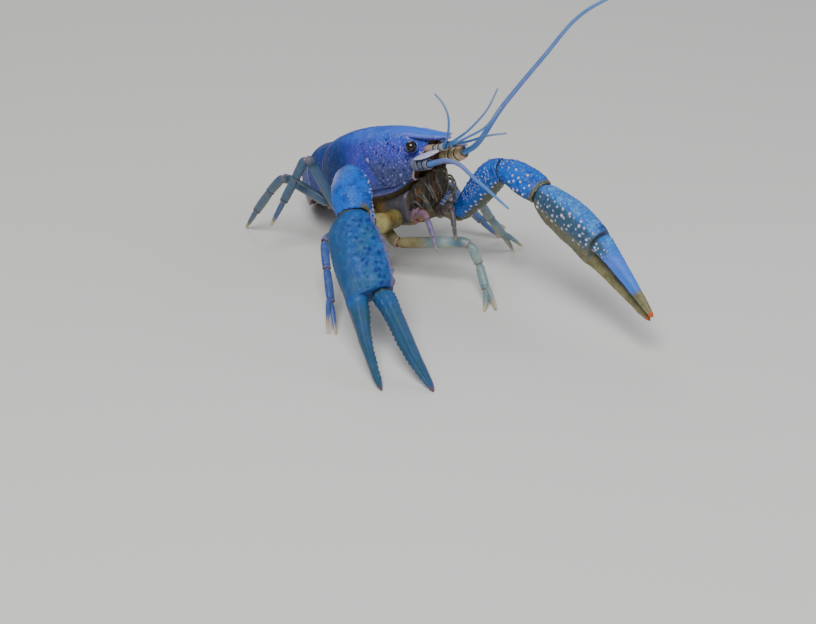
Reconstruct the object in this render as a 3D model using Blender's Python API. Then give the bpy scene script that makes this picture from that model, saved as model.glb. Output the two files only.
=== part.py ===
"""Florida blue crayfish, life size, standing as in the photograph.

The head is to -Y, its left side to +X and the floor at z = 0. The body is shaped in a frame of its own, x to
its left, y to its tail and z up, in millimetres from the point between the eyes, and then pitched nose up.
Limbs follow paths through named joints in the standing frame.
"""
import math

import bmesh
import bpy
import numpy as np

MM = 0.001
GAP = 0.3
EYE_HEIGHT = 36.0
NOSE_UP = math.radians(17.6)
SPINE_SIDES = 5
SMOOTH_UNDER = math.radians(40.0)

WIDEST_Z = -7.0
FRONT = -2.5
REAR = 34.6
CARAPACE_AT = (-4.0, 0.0, 3.0, 6.0, 10.0, 14.0, 18.0, 22.0, 26.0, 30.0, 33.0, 34.6)
CARAPACE_HALF = (4.2, 5.6, 6.6, 7.4, 8.5, 9.3, 9.9, 10.2, 10.2, 9.9, 9.2, 8.4)
CARAPACE_TOP = (0.9, 2.2, 2.8, 3.3, 3.65, 3.75, 3.7, 3.5, 3.2, 2.6, 1.9, 1.3)
CARAPACE_LOW = (-8.0, -10.5, -12.6, -13.7, -14.5, -14.9, -15.0, -14.9, -14.5, -13.7, -12.6, -11.6)

# Rows of the carapace: 0 is its front edge, 1 the neck groove and 2 its rear edge.
CARAPACE_ROWS = (0.0, 0.08, 0.18, 0.3, 0.45, 0.6, 0.75, 0.88, 0.96, 1.0,
                 1.05, 1.15, 1.35, 1.55, 1.75, 1.9, 1.97, 2.0)
GROOVE_TOP = 19.5
GROOVE_SWEEP = 15.0
GROOVE_DEEP = 0.45
GROOVE_WIDE = 0.8
GROOVE_END = 2.1

# Spines on each side: how far back, the angle round from the back, radius and height.
CARAPACE_SPINES = ((3.6, 0.56, 0.42, 0.8), (13.2, 1.18, 0.5, 0.9), (-1.6, 1.0, 0.42, 0.8),
                   (1.5, 1.55, 0.4, 0.6), (0.5, 2.0, 0.4, 0.6))

ROSTRUM_AT = (8.0, 4.0, 0.0, -3.5, -6.5, -7.6, -8.3, -9.4, -10.6)
ROSTRUM_HALF = (3.0, 3.2, 2.9, 2.5, 2.1, 2.05, 1.2, 0.8, 0.25)
ROSTRUM_TOP = (2.4, 2.75, 2.35, 1.95, 1.7, 1.65, 1.55, 1.4, 1.2)
ROSTRUM_DEEP = (1.8, 1.8, 1.6, 1.4, 1.2, 1.1, 0.9, 0.7, 0.45)

STERNUM_HALF = 5.5
STERNUM_AT = (5.6, 10.0, 16.0, 22.0, 28.0, 32.5)
STERNUM_LOW = (-19.6, -20.3, -19.6, -18.7, -17.8, -16.8)

MOUTH_AT = (-3.6, -2.6, -1.0, 2.0, 5.3)
MOUTH_HALF = (1.6, 3.0, 3.8, 4.4, 4.6)
MOUTH_LOW = (-7.6, -9.9, -12.4, -15.4, -17.0)
MOUTH_HIGH = (-6.4, -6.4, -7.0, -8.5, -11.0)

# Radii along the bases and whips of the feelers, and where the bases end in the body's frame.
BASE_RADII = (1.6, 1.75, 1.3, 1.45, 1.1)
BASE_END_R = (-5.0, -7.4, -4.3)
BASE_END_L = (4.5, -8.6, -3.6)
STEM_RADII = (0.9, 0.95, 0.8, 0.95, 0.85)
WHIP_RADII = (0.34, 0.32, 0.28, 0.25)
WHIPS_APART = 0.84
ANTENNA_THICK = 0.75
ANTENNA_THIN = 0.28
SCALE_HALF = ((0.0, 0.6), (0.2, 1.0), (0.45, 1.3), (0.7, 1.2), (0.88, 0.8), (1.0, 0.3))

EYE_RADIUS = 1.45
EYE_AT = (4.7, -0.7, -0.2)

# Limb joints in millimetres in the standing frame: base, hip, knee, wrist, hinge and tip.
CLAW_R = ((-5.8, 3.4, 16.6), (-8.2, 3.2, 16.5), (-16.8, 1.0, 17.6), (-22.2, 0.0, 35.0), (-28.2, -9.8, 28.2))
CLAW_L = ((5.8, 3.4, 16.6), (8.2, 2.4, 16.5), (8.9, -2.8, 16.2), (9.6, -17.1, 33.3), (12.1, -28.9, 29.8))
FINGER_TIP_R = (-42.3, -40.1, 0.1)
PALM_FACES_R = (-0.44, -0.49, 0.75)
FINGER_TIP_L = (13.8, -65.0, 10.4)
PALM_FACES_L = (0.975, -0.074, 0.22)
LEG_2_R = ((-5.8, 8.6, 14.6), (-7.6, 8.2, 14.4), (-7.4, 1.8, 10.8), (4.0, -12.7, 13.2),
           (4.6, -15.6, 8.2), (3.0, -20.5, 3.2), (-0.1, -23.6, 0.2))
LEG_3_R = ((-5.8, 13.1, 14.5), (-7.8, 13.0, 14.5), (-14.1, 10.6, 13.9), (-26.6, 4.5, 15.6),
           (-28.9, 0.4, 11.9), (-32.0, -5.6, 6.4), (-35.0, -12.0, 0.2))
LEG_4_R = ((-5.8, 17.6, 13.6), (-7.8, 17.6, 13.6), (-13.1, 18.0, 15.5), (-18.8, 22.6, 29.8),
           (-20.4, 25.2, 23.5), (-21.9, 29.2, 15.6), (-24.5, 31.1, 9.3))
LEG_5_R = ((-5.8, 22.0, 12.9), (-7.8, 22.0, 12.9), (-12.4, 22.4, 15.2), (-18.1, 34.2, 20.1),
           (-18.9, 38.6, 15.4), (-19.6, 45.4, 7.0), (-19.5, 51.0, 0.2))
LEG_2_L = ((5.8, 8.6, 14.6), (7.4, 8.0, 14.2), (9.6, 5.4, 12.4), (14.5, -3.0, 18.0), (17.5, -3.2, 13.0),
           (23.0, -2.6, 6.0), (27.5, -1.0, 0.2))
LEG_3_L = ((5.8, 13.1, 14.5), (7.8, 13.0, 14.2), (12.0, 12.0, 12.5), (16.0, 11.0, 18.0), (19.5, 10.5, 12.0),
           (25.5, 8.0, 4.6), (29.5, 6.5, 0.2))
LEG_4_L = ((5.8, 17.6, 13.6), (7.8, 17.7, 13.6), (12.5, 18.5, 14.0), (20.0, 24.0, 21.0), (22.5, 25.2, 15.5),
           (27.2, 28.0, 7.0), (31.0, 31.0, 0.2))
LEG_5_L = ((5.8, 22.0, 12.9), (7.8, 22.2, 12.9), (11.5, 25.0, 13.5), (17.5, 32.0, 20.0), (19.2, 34.8, 15.0),
           (22.4, 39.0, 7.0), (24.5, 42.0, 0.2))
LEGS = {"leg_2_R": LEG_2_R, "leg_3_R": LEG_3_R, "leg_4_R": LEG_4_R, "leg_5_R": LEG_5_R,
        "leg_2_L": LEG_2_L, "leg_3_L": LEG_3_L, "leg_4_L": LEG_4_L, "leg_5_L": LEG_5_L}
PINCER_LEGS = ("leg_2_R", "leg_3_R", "leg_2_L", "leg_3_L")

# Radii along the two parts of a leg, at parts of their length, and how much flatter it is across its bend.
LEG_UPPER_RADII = ((0, 1.75), (0.12, 1.65), (0.3, 1.35), (0.36, 1.2), (0.6, 1.4), (0.85, 1.35), (1.0, 1.1))
LEG_LOWER_RADII = ((0, 1.05), (0.12, 1.15), (0.26, 1.0), (0.31, 0.88), (0.45, 1.0), (0.6, 0.92), (0.67, 0.7),
                   (0.8, 0.58), (1.0, 0.26))
LEG_FLAT = 0.85

MAXILLIPED_R = ((-3.2, -1.4, 20.4), (-4.6, -1.6, 17.4), (-6.4, -8.5, 22.1), (-7.1, -11.7, 19.1),
                (-8.2, -15.3, 15.2))
MAXILLIPED_L = ((2.8, -1.4, 20.4), (2.9, -2.0, 17.2), (1.0, -8.8, 22.0), (0.0, -11.2, 19.4),
                (-0.8, -13.2, 15.2))

# The claw's three lower segments: how many rings, half widths across the bend and half depths in it.
CLAW_SEGMENTS = {"ischium": (6, (2.4, 2.3, 2.5, 2.7, 2.6), (2.4, 2.3, 2.5, 2.8, 2.7)),
                 "merus": (9, (2.4, 2.5, 2.8, 3.0, 3.0, 2.7), (2.6, 2.9, 3.4, 3.7, 3.6, 3.0)),
                 "carpus": (8, (2.8, 3.9, 4.5, 4.6, 4.4, 3.6), (2.8, 3.8, 4.5, 4.7, 4.1, 3.0))}
# The left claw shows its narrow side: a slimmer carpus, and a palm that bows out to its back.
CARPUS_L = (8, (2.7, 3.2, 3.6, 3.8, 3.7, 3.2), (2.7, 3.0, 3.3, 3.5, 3.4, 2.8))
BOW_L = 1.8

# The claw's outline in millimetres from the wrist: distance along it, outer edge, inner edge, half thickness.
PALM = ((0.15, -4.0, 3.0, 2.8), (2.5, -6.2, 3.7, 3.3), (6.4, -7.2, 4.4, 3.8), (10.5, -7.5, 4.7, 4.1),
        (14.5, -7.4, 4.6, 4.0), (18.0, -7.2, 4.2, 3.7), (19.5, -7.1, 3.7, 3.5), (19.9, -7.1, -2.0, 3.3),
        (23.0, -7.0, -2.5, 2.8), (28.8, -6.8, -3.8, 2.1), (35.0, -6.4, -4.2, 1.4), (39.4, -5.9, -4.4, 0.8),
        (41.2, -5.3, -4.6, 0.35))
DACTYL = ((20.25, -1.3, 3.3, 3.1), (21.6, -1.0, 3.6, 2.9), (25.2, 0.0, 4.0, 2.5), (29.5, 0.7, 4.5, 2.0),
          (34.5, 1.7, 5.0, 1.5), (39.3, 3.2, 5.6, 1.0), (42.5, 4.5, 5.9, 0.6), (43.9, 5.1, 5.8, 0.35))
# Rows of tubercles on the palm: the angle round from the inner edge, where it starts and how many it has.
PALM_ROWS = ((0.0, 2.9, 8), (0.5, 4.2, 6), (-0.5, 4.2, 6), (1.0, 5.2, 5), (-1.0, 5.2, 5), (1.5, 6.3, 4),
             (-1.6, 6.3, 4), (-2.2, 7.4, 4))
CLAW_LENGTH = 41.5
HINGE_X = 1.0
HINGE_Y = 20.25
FINGER_LEAN = math.radians(6.9)
CLOSED_L = math.radians(22.0)
FINGER_REACH_L = 0.9

ABDOMEN_START = (0.0, 34.9, -6.6)
SOMITE = 6.4
ABDOMEN_FALL = (-27.0, -35.0, -35.0, -28.0, -18.0, -9.0)
ABDOMEN_TURN = (8.0, 20.0, 32.0, 43.0, 52.0, 59.0)
ABDOMEN_HALF = (7.9, 8.5, 8.4, 8.0, 7.4, 6.7, 5.6)
ABDOMEN_TALL = (7.2, 7.2, 6.9, 6.3, 5.5, 4.6, 3.4)
# The length of the swimmerets under the second to fifth abdomen rings, and how low their line may hang.
SWIMMERET_LENGTH = {1: 4.6, 2: 4.6, 3: 4.2, 4: 3.0}
SWIMMERET_LOW = 0.9
FAN_HALF_THICK = 0.3
FAN_RIDGE = 0.25
# Each plate of the tail fan: angle, how far out it starts, height, length and the rise of its root.
TAIL_FAN = {"telson": (0.0, 0.0, 1.85, 13.0, 2.0), "uropod_inner_L": (22.0, 3.9, 0.9, 12.8, 1.0),
            "uropod_outer_L": (48.0, 5.5, 0.0, 13.6, 0.9), "uropod_inner_R": (-22.0, -3.9, 0.9, 12.8, 1.0),
            "uropod_outer_R": (-48.0, -5.5, 0.0, 13.6, 0.9)}
# Half widths of the plates at parts of their length.
TELSON_HALF = ((0, 2.6), (0.12, 3.3), (0.45, 3.9), (0.6, 3.6), (0.64, 3.35), (0.85, 3.3), (0.95, 2.6),
               (1.0, 1.3))
UROPOD_HALF = ((0, 0.6), (0.1, 1.1), (0.3, 2.4), (0.6, 3.3), (0.8, 3.2), (0.93, 2.4), (1.0, 1.0))
# Half of an abdomen ring's section, from the middle of the back round to the belly, as parts of its size.
SOMITE_SECTION = ((0.0, 1.0), (0.38, 0.93), (0.71, 0.71), (0.93, 0.36), (1.0, -0.05), (0.98, -0.5),
                  (0.9, -0.86), (0.72, -0.6), (0.4, -0.52), (0.0, -0.52))

ANTENNA_L = ((4.6, -9.8, 35.3), (6.2, -12.4, 38.2), (8.7, -17.1, 47.2), (11.0, -21.3, 54.1),
             (13.7, -26.5, 62.1), (16.9, -32.5, 71.3), (20.1, -38.5, 76.8), (25.5, -47.5, 82.5),
             (31.0, -56.5, 84.0))
ANTENNA_R = ((-5.0, -8.6, 34.1), (-4.7, -11.8, 35.9), (-4.5, -14.7, 37.0), (-4.2, -18.8, 37.2),
             (-3.9, -23.2, 35.6), (-3.5, -28.9, 33.8), (-3.1, -35.2, 31.7))
# Both whips of each antennule, the outer one first.
ANTENNULE_R = (((-2.4, -11.8, 41.8), (-3.3, -13.1, 46.8), (-4.7, -12.9, 50.4), (-6.6, -12.0, 53.2)),
               ((-0.6, -13.0, 41.0), (-0.1, -17.1, 44.6), (0.7, -22.1, 50.6), (1.3, -25.1, 56.6)))
ANTENNULE_L = (((3.6, -12.6, 39.3), (5.7, -15.5, 40.9), (8.8, -19.8, 42.3)),
               ((2.4, -13.3, 40.8), (4.4, -17.2, 44.1), (6.2, -20.6, 49.7)))


def material(name, colour, roughness):
    """A plain Principled material of this colour."""
    made = bpy.data.materials.new(name)
    made.use_nodes = True
    shader = made.node_tree.nodes["Principled BSDF"]
    shader.inputs["Base Color"].default_value = (*colour, 1.0)
    shader.inputs["Roughness"].default_value = roughness
    made.diffuse_color = (*colour, 1.0)
    return made


def unit(v):
    """The vector or the rows of vectors, each one long."""
    v = np.asarray(v, float)
    return v / np.linalg.norm(v, axis=-1, keepdims=True)


def stand(points):
    """Points of the body's frame, in the standing frame."""
    points = np.asarray(points, float)
    c = math.cos(NOSE_UP)
    s = math.sin(NOSE_UP)
    x, y, z = points[..., 0], points[..., 1], points[..., 2]
    return np.stack([x, y * c + z * s, -y * s + z * c + EYE_HEIGHT], axis=-1)


def eased(at, stops, values):
    """A smooth curve through these values, with level slopes at neither end."""
    stops = np.asarray(stops, float)
    values = np.asarray(values, float)
    slopes = np.gradient(values, stops)
    at = np.clip(at, stops[0], stops[-1])
    i = np.clip(np.searchsorted(stops, at) - 1, 0, len(stops) - 2)
    wide = stops[i + 1] - stops[i]
    t = (at - stops[i]) / wide
    lift = t * t * (3 - 2 * t)
    return (values[i] * (1 - lift) + values[i + 1] * lift + wide * slopes[i] * t * (1 - t) ** 2
            - wide * slopes[i + 1] * t * t * (1 - t))


def mesh_object(name, points, faces, look=None):
    """A mesh of these points in millimetres, with its faces turned outwards."""
    data = bpy.data.meshes.new(name)
    data.from_pydata((np.asarray(points) * MM).tolist(), [], faces)
    shape = bmesh.new()
    shape.from_mesh(data)
    bmesh.ops.recalc_face_normals(shape, faces=shape.faces)
    if shape.calc_volume(signed=True) < 0:
        bmesh.ops.reverse_faces(shape, faces=shape.faces)
    shape.to_mesh(data)
    shape.free()
    made = bpy.data.objects.new(name, data)
    OBJECT.objects.link(made)
    if look:
        data.materials.append(look)
    return made


def lofted(rings):
    """Points and faces of a skin over these rings, closed at both ends."""
    rings = np.asarray(rings)
    count, around = rings.shape[:2]
    faces = []
    for i in range(count - 1):
        for j in range(around):
            k = (j + 1) % around
            faces.append((i * around + j, i * around + k, (i + 1) * around + k, (i + 1) * around + j))
    faces.append(tuple(range(around))[::-1])
    faces.append(tuple(range((count - 1) * around, count * around)))
    return rings.reshape(-1, 3), faces


def path_through(joints, bends, fine=6):
    """A dense path whose inner corners are arcs, and the number of the point in the middle of each corner."""
    joints = np.asarray(joints, float)
    points = [joints[0]]
    marks = [0]
    for a, b, c, reach in zip(joints, joints[1:], joints[2:], bends):
        u = unit(b - a)
        v = unit(c - b)
        turn = math.acos(np.clip(u @ v, -1, 1))
        if turn < 0.03:
            points.append(b)
            marks.append(len(points) - 1)
            continue
        radius = reach / math.tan(turn / 2)
        inward = unit(v - (v @ u) * u)
        centre = b - reach * u + radius * inward
        for angle in np.linspace(0, turn, 2 * fine + 1):
            points.append(centre - radius * inward * math.cos(angle) + radius * u * math.sin(angle))
        marks.append(len(points) - 1 - fine)
    points.append(joints[-1])
    marks.append(len(points) - 1)
    return np.array(points), marks


def along(path, first, last, parts, trim=(GAP / 2, GAP / 2)):
    """Points and directions at these parts of the way from point first to point last of a path."""
    steps = np.linalg.norm(np.diff(path, axis=0), axis=1)
    length = np.concatenate([[0], np.cumsum(steps)])
    start = length[first] + trim[0]
    at = start + (length[last] - trim[1] - start) * np.asarray(parts, float)
    centres = np.stack([np.interp(at, length, path[:, k]) for k in range(3)], axis=1)
    ahead = np.stack([np.interp(at + 0.2, length, path[:, k]) for k in range(3)], axis=1)
    behind = np.stack([np.interp(at - 0.2, length, path[:, k]) for k in range(3)], axis=1)
    return centres, unit(ahead - behind)


def rings_on(centres, ways, side, half, deep, around):
    """Oval rings square to a path: half is their reach to the side and deep is the one across it."""
    angles = np.linspace(0, 2 * np.pi, around, endpoint=False)
    across = unit(side - (ways @ side)[:, None] * ways)
    other = np.cross(ways, across)
    half = np.broadcast_to(half, len(centres))[:, None, None]
    deep = np.broadcast_to(deep, len(centres))[:, None, None]
    wave = (half * np.cos(angles)[None, :, None] * across[:, None, :]
            + deep * np.sin(angles)[None, :, None] * other[:, None, :])
    return centres[:, None, :] + wave


def footed(rings):
    """The same rings with the last one lowered onto the floor, where it makes a small flat."""
    rings = np.array(rings)
    rings[-1, :, 2] -= rings[-1, :, 2].min() + 0.12
    rings[..., 2] = np.maximum(rings[..., 2], 0.0)
    return rings


def cone(shape, root, way, radius, height):
    """Adds a spine to a mesh in the making, its root sunk by half of its height."""
    way = unit(way)
    side = unit(np.cross(way, (0.31, 0.52, 0.79)))
    other = np.cross(way, side)
    start = np.asarray(root) - way * height * 0.5
    turns = np.linspace(0, 2 * np.pi, SPINE_SIDES, endpoint=False)
    foot = [start + radius * (math.cos(a) * side + math.sin(a) * other) for a in turns]
    ring = [shape.verts.new((p * MM).tolist()) for p in foot]
    tip = shape.verts.new(((np.asarray(root) + way * height) * MM).tolist())
    shape.faces.new(ring[::-1])
    for one, two in zip(ring, ring[1:] + ring[:1]):
        shape.faces.new((one, two, tip))


def largest_body(data):
    """Leaves a mesh only its largest closed surface."""
    shape = bmesh.new()
    shape.from_mesh(data)
    left = set(shape.faces)
    bodies = []
    while left:
        found = {left.pop()}
        edge_of = list(found)
        while edge_of:
            near = {other for side in edge_of.pop().edges for other in side.link_faces} & left
            left -= near
            found |= near
            edge_of.extend(near)
        bodies.append(found)
    bodies.sort(key=lambda body: abs(sum((f.calc_center_median() @ f.normal) * f.calc_area() for f in body)))
    for body in bodies[:-1]:
        bmesh.ops.delete(shape, geom=list(body), context="FACES")
    shape.to_mesh(data)
    shape.free()


def combine(target, helpers, how):
    """One Boolean on a collection of closed helpers, applied, and the helpers removed."""
    group = bpy.data.collections.new(target.name + "_" + how.lower())
    HELPERS.children.link(group)
    for helper in helpers:
        for owner in list(helper.users_collection):
            owner.objects.unlink(helper)
        group.objects.link(helper)
        helper.hide_render = True
        helper.display_type = "WIRE"
    change = target.modifiers.new(how.title(), "BOOLEAN")
    change.operation = how
    change.operand_type = "COLLECTION"
    change.collection = group
    bpy.context.view_layer.update()
    graph = bpy.context.evaluated_depsgraph_get()
    plain = target.data
    target.data = bpy.data.meshes.new_from_object(target.evaluated_get(graph))
    target.modifiers.clear()
    bpy.data.meshes.remove(plain)
    target.data.name = target.name
    largest_body(target.data)
    for helper in helpers:
        bpy.data.objects.remove(helper, do_unlink=True)
    bpy.data.collections.remove(group)


def spines(name, placed):
    """One mesh of separate spines, each placed as (root, way, radius, height)."""
    shape = bmesh.new()
    for root, way, radius, height in placed:
        cone(shape, root, way, radius, height)
    bmesh.ops.recalc_face_normals(shape, faces=shape.faces)
    data = bpy.data.meshes.new(name)
    shape.to_mesh(data)
    shape.free()
    made = bpy.data.objects.new(name, data)
    OBJECT.objects.link(made)
    return made


def groove_at(angle):
    """How far back the neck groove lies at this angle round from the back, swept forward down the sides."""
    return GROOVE_TOP - GROOVE_SWEEP * (1 - np.cos(0.75 * np.minimum(np.abs(angle), GROOVE_END)))


def carapace_point(s, angle, grow=0.0, groove=GROOVE_DEEP):
    """A point of the carapace in the body's frame: s runs to the tail, the angle goes round from the back."""
    s = np.asarray(s, float)
    angle = (np.asarray(angle, float) + math.pi) % (2 * math.pi) - math.pi
    fade = np.clip((GROOVE_END - np.abs(angle)) / 0.3, 0, 1)
    swell = grow - groove * fade * np.exp(-((s - groove_at(angle)) / GROOVE_WIDE) ** 2)
    half = eased(s, CARAPACE_AT, CARAPACE_HALF) + swell
    top = eased(s, CARAPACE_AT, CARAPACE_TOP) + swell
    low = eased(s, CARAPACE_AT, CARAPACE_LOW) - swell
    up = np.cos(angle)
    out = np.sin(angle)
    power = np.where(up > 0, 2 / 2.1, 2 / 2.5)
    x = half * np.sign(out) * np.abs(out) ** power
    rise = np.sign(up) * np.abs(up) ** power
    z = WIDEST_Z + np.where(up > 0, rise * (top - WIDEST_Z), rise * (WIDEST_Z - low))
    pinch = 0.42 * np.clip((6.0 - s) / 6.0, 0, 1) * np.clip((z + 5.0) / 4.0, 0, 1)
    x = x * (1 - pinch)
    lean = 0.5 * np.clip((13.0 - s) / 13.0, 0, 1)
    return np.stack([x, s + lean * (-z - 2.0), z], axis=-1)


def carapace_rings(around, grow=0.0, groove=GROOVE_DEEP):
    """Rows of the carapace behind a narrower nose, with the ends moved out when it is grown."""
    angles = np.linspace(-np.pi, np.pi, around, endpoint=False)
    bend = groove_at(angles)
    rings = []
    for row in CARAPACE_ROWS:
        s = FRONT + (bend - FRONT) * row if row < 1 else bend + (REAR - bend) * (row - 1)
        rings.append(carapace_point(s, angles, grow, groove))
    rings[0][:, 1] -= grow
    rings[-1][:, 1] += grow
    nose = rings[0] * (0.7, 1, 0.8) + (0, -0.5, rings[0][:, 2].mean() * 0.2)
    return stand([nose, *rings])


def carapace():
    """The shell of head and thorax, with the rostrum and its spines joined on."""
    shell = mesh_object("carapace", *lofted(carapace_rings(28)), SHELL)
    turns = np.linspace(0, 2 * np.pi, 10, endpoint=False)
    rostrum = []
    for s, half, top, deep in zip(ROSTRUM_AT, ROSTRUM_HALF, ROSTRUM_TOP, ROSTRUM_DEEP):
        x = half * np.sin(turns)
        rim = 0.25 * (np.abs(x) / half) ** 3 * min(1.0, half / 2)
        z = top - deep / 2 + deep / 2 * np.cos(turns) + rim
        rostrum.append(np.stack([x, np.full(10, s), z], axis=1))
    plate = mesh_object("rostrum_form", *lofted(stand(rostrum)))
    placed = []
    for side in (-1, 1):
        for s, angle, radius, height in CARAPACE_SPINES:
            root = carapace_point(s, side * angle)
            out = root - carapace_point(s + 2, side * angle * 0.6) + (0, -1.2, 0)
            placed.append((stand(root), stand(root + unit(out)) - stand(root), radius, height))
        tooth = (side * 1.9, -7.6, 1.3)
        placed.append((stand(tooth), stand((side * 2.4, -8.8, 1.5)) - stand(tooth), 0.35, 0.9))
    combine(shell, [plate, spines("carapace_spine_forms", placed)], "UNION")
    return shell


def grown_carapace(name):
    """A cutter one gap larger than the carapace, with the rostrum and the neck groove left out."""
    return mesh_object(name, *lofted(carapace_rings(28, GAP, 0.0)))


def sternum_block(high):
    """The floor of the thorax between the legs, grooved along its middle, up to a high edge."""
    rings = []
    for s, b, t in zip(STERNUM_AT, STERNUM_LOW, high):
        h = STERNUM_HALF
        right = ((0.0, b + 0.8), (1.0, b + 0.25), (2.4, b), (h - 1.1, b), (h - 0.35, b + 0.35), (h, b + 1.1),
                 (h, t))
        left = [(-x, z) for x, z in right[:0:-1]]
        rings.append([(x, s, z) for x, z in (*right, *left)])
    return mesh_object("sternum", *lofted(stand(rings)), UNDERSIDE)


def mouth_block(name, grow):
    """The rounded field under the head that carries the mouth feet, or a cutter larger than it all round."""
    turns = np.linspace(0, 2 * np.pi, 16, endpoint=False)
    rings = []
    for i, (s, half, low, high) in enumerate(zip(MOUTH_AT, MOUTH_HALF, MOUTH_LOW, MOUTH_HIGH)):
        ahead = -grow if i == 0 else grow if i == len(MOUTH_AT) - 1 else 0
        out = np.sign(np.sin(turns)) * np.abs(np.sin(turns)) ** 0.7
        rise = np.sign(np.cos(turns)) * np.abs(np.cos(turns)) ** 0.7
        x = (half + grow) * out
        z = (low + high) / 2 + ((high - low) / 2 + grow) * rise
        rings.append(np.stack([x, np.full(16, s + ahead), z], axis=1))
    return mesh_object(name, *lofted(stand(rings)), UNDERSIDE)


def head_parts():
    """Sternum, mouth, eyes and their stalks."""
    high = eased(STERNUM_AT, CARAPACE_AT, CARAPACE_LOW) + 2.5
    sternum = sternum_block(high)
    combine(sternum, [grown_carapace("sternum_cutter")], "DIFFERENCE")
    mouth = mouth_block("mouth", 0.0)
    combine(mouth, [grown_carapace("mouth_cutter")], "DIFFERENCE")
    for side, tag in ((-1, "R"), (1, "L")):
        centre = stand((side * EYE_AT[0], EYE_AT[1], EYE_AT[2]))
        data = bpy.data.meshes.new("eye_" + tag)
        ball = bmesh.new()
        bmesh.ops.create_uvsphere(ball, u_segments=12, v_segments=8, radius=EYE_RADIUS * MM)
        bmesh.ops.translate(ball, verts=ball.verts, vec=(centre * MM).tolist())
        ball.to_mesh(data)
        ball.free()
        data.materials.append(EYE)
        OBJECT.objects.link(bpy.data.objects.new("eye_" + tag, data))
        inner = stand((side * 1.9, 0.4, -1.3))
        way = unit(centre - inner)
        reach = np.linalg.norm(centre - inner) - EYE_RADIUS - GAP
        path = inner + np.outer(np.linspace(0, reach, 4), way)
        rings = rings_on(path, np.tile(way, (4, 1)), np.array((0.0, 0.0, 1.0)), (0.7, 0.8, 0.95, 1.0), 0.9, 8)
        stalk = mesh_object("eyestalk_" + tag, *lofted(rings), STALK)
        combine(stalk, [grown_carapace("eyestalk_cutter_" + tag)], "DIFFERENCE")


def tube(name, points, radii, around, look, side=(0.0, 0.3, 1.0), flat=1.0):
    """A tapering round body along these points."""
    path, _ = path_through(points, (0.6,) * (len(points) - 2), 2)
    parts = np.linspace(0, 1, 2 * len(points))
    centres, ways = along(path, 0, len(path) - 1, parts, (0, 0))
    sizes = np.interp(parts, np.linspace(0, 1, len(radii)), radii)
    rings = rings_on(centres, ways, unit(side), sizes, sizes * flat, around)
    return mesh_object(name, *lofted(rings), look)


def feeler(name, points, thick, thin):
    """A whip as a bevelled curve that tapers to its end."""
    data = bpy.data.curves.new(name, "CURVE")
    data.dimensions = "3D"
    data.bevel_depth = thick * MM
    data.bevel_resolution = 1
    data.use_fill_caps = True
    data.resolution_u = 1
    stops = np.arange(len(points))
    points = np.asarray(points, float)
    fine = np.linspace(0, len(points) - 1, 3 * (len(points) - 1) + 1)
    smooth = np.stack([eased(fine, stops, points[:, k]) for k in range(3)], axis=1)
    line = data.splines.new("POLY")
    line.points.add(len(smooth) - 1)
    for i, (point, spot) in enumerate(zip(line.points, smooth)):
        point.co = (*(spot * MM), 1.0)
        point.radius = 1 + (thin / thick - 1) * i / (len(smooth) - 1)
    data.materials.append(FEELER)
    made = bpy.data.objects.new(name, data)
    OBJECT.objects.link(made)
    return made


def feelers():
    """Antennae with their bases and scales, and antennules."""
    for side, tag, whip, end in ((-1, "R", ANTENNA_R, BASE_END_R), (1, "L", ANTENNA_L, BASE_END_L)):
        root = (side * 4.3, -0.5, -4.4)
        middle = (side * 4.6, -4.6, -4.3)
        base = tube("antenna_base_" + tag, stand((root, middle, end)), BASE_RADII, 10, PEDUNCLE)
        combine(base, [grown_carapace("antenna_cutter_" + tag)], "DIFFERENCE")
        start = stand(end)
        way = unit(np.array(whip[1]) - start)
        feeler("antenna_" + tag, [tuple(start + way * GAP), *whip[1:]], ANTENNA_THICK, ANTENNA_THIN)
        turns = np.linspace(0, 2 * np.pi, 10, endpoint=False)
        plate = []
        for part, half in SCALE_HALF:
            centre = np.array((side * (5.9 - 1.0 * part), -2.9 - 7.2 * part, -1.85 + 0.5 * part))
            plate.append(centre + np.stack([half * np.cos(turns), 0 * turns, 0.38 * np.sin(turns)], axis=1))
        mesh_object("antenna_scale_" + tag, *lofted(stand(plate)), SCALE)
        stem_line = ((side * 1.5, -1.5, -1.5), (side * 1.5, -5.5, -1.3), (side * 1.4, -9.6, -0.9))
        stem = tube("antennule_" + tag, stand(stem_line), STEM_RADII, 10, PEDUNCLE)
        combine(stem, [grown_carapace("antennule_cutter_" + tag)], "DIFFERENCE")
        ahead = unit(stand(stem_line[2]) - stand(stem_line[1]))
        for i, (name, whip) in enumerate(zip(("outer", "inner"), ANTENNULE_R if side < 0 else ANTENNULE_L)):
            aside = side * WHIPS_APART * (0.5 - i)
            start = stand(stem_line[2]) + ahead * GAP + (aside, 0, 0)
            tube("antennule_%s_%s" % (name, tag), [start, *whip], WHIP_RADII, 6, FEELER)


def maxilliped(tag, side):
    """The long outer mouth foot, hanging bent from the mouth."""
    path, _ = path_through(MAXILLIPED_R if side < 0 else MAXILLIPED_L, (1.2, 1.6, 1.0), 3)
    parts = np.linspace(0, 1, 14)
    centres, ways = along(path, 0, len(path) - 1, parts, (0, 0))
    sizes = eased(parts, (0, 0.15, 0.3, 0.5, 0.62, 0.8, 1.0), (1.1, 1.2, 1.25, 1.1, 0.8, 0.65, 0.3))
    rings = rings_on(centres, ways, np.array((1.0, 0.2, 0.1)), sizes * 0.8, sizes, 8)
    foot = mesh_object("maxilliped_" + tag, *lofted(rings), FOOT)
    combine(foot, [mouth_block("maxilliped_cutter_" + tag, GAP)], "DIFFERENCE")


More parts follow.
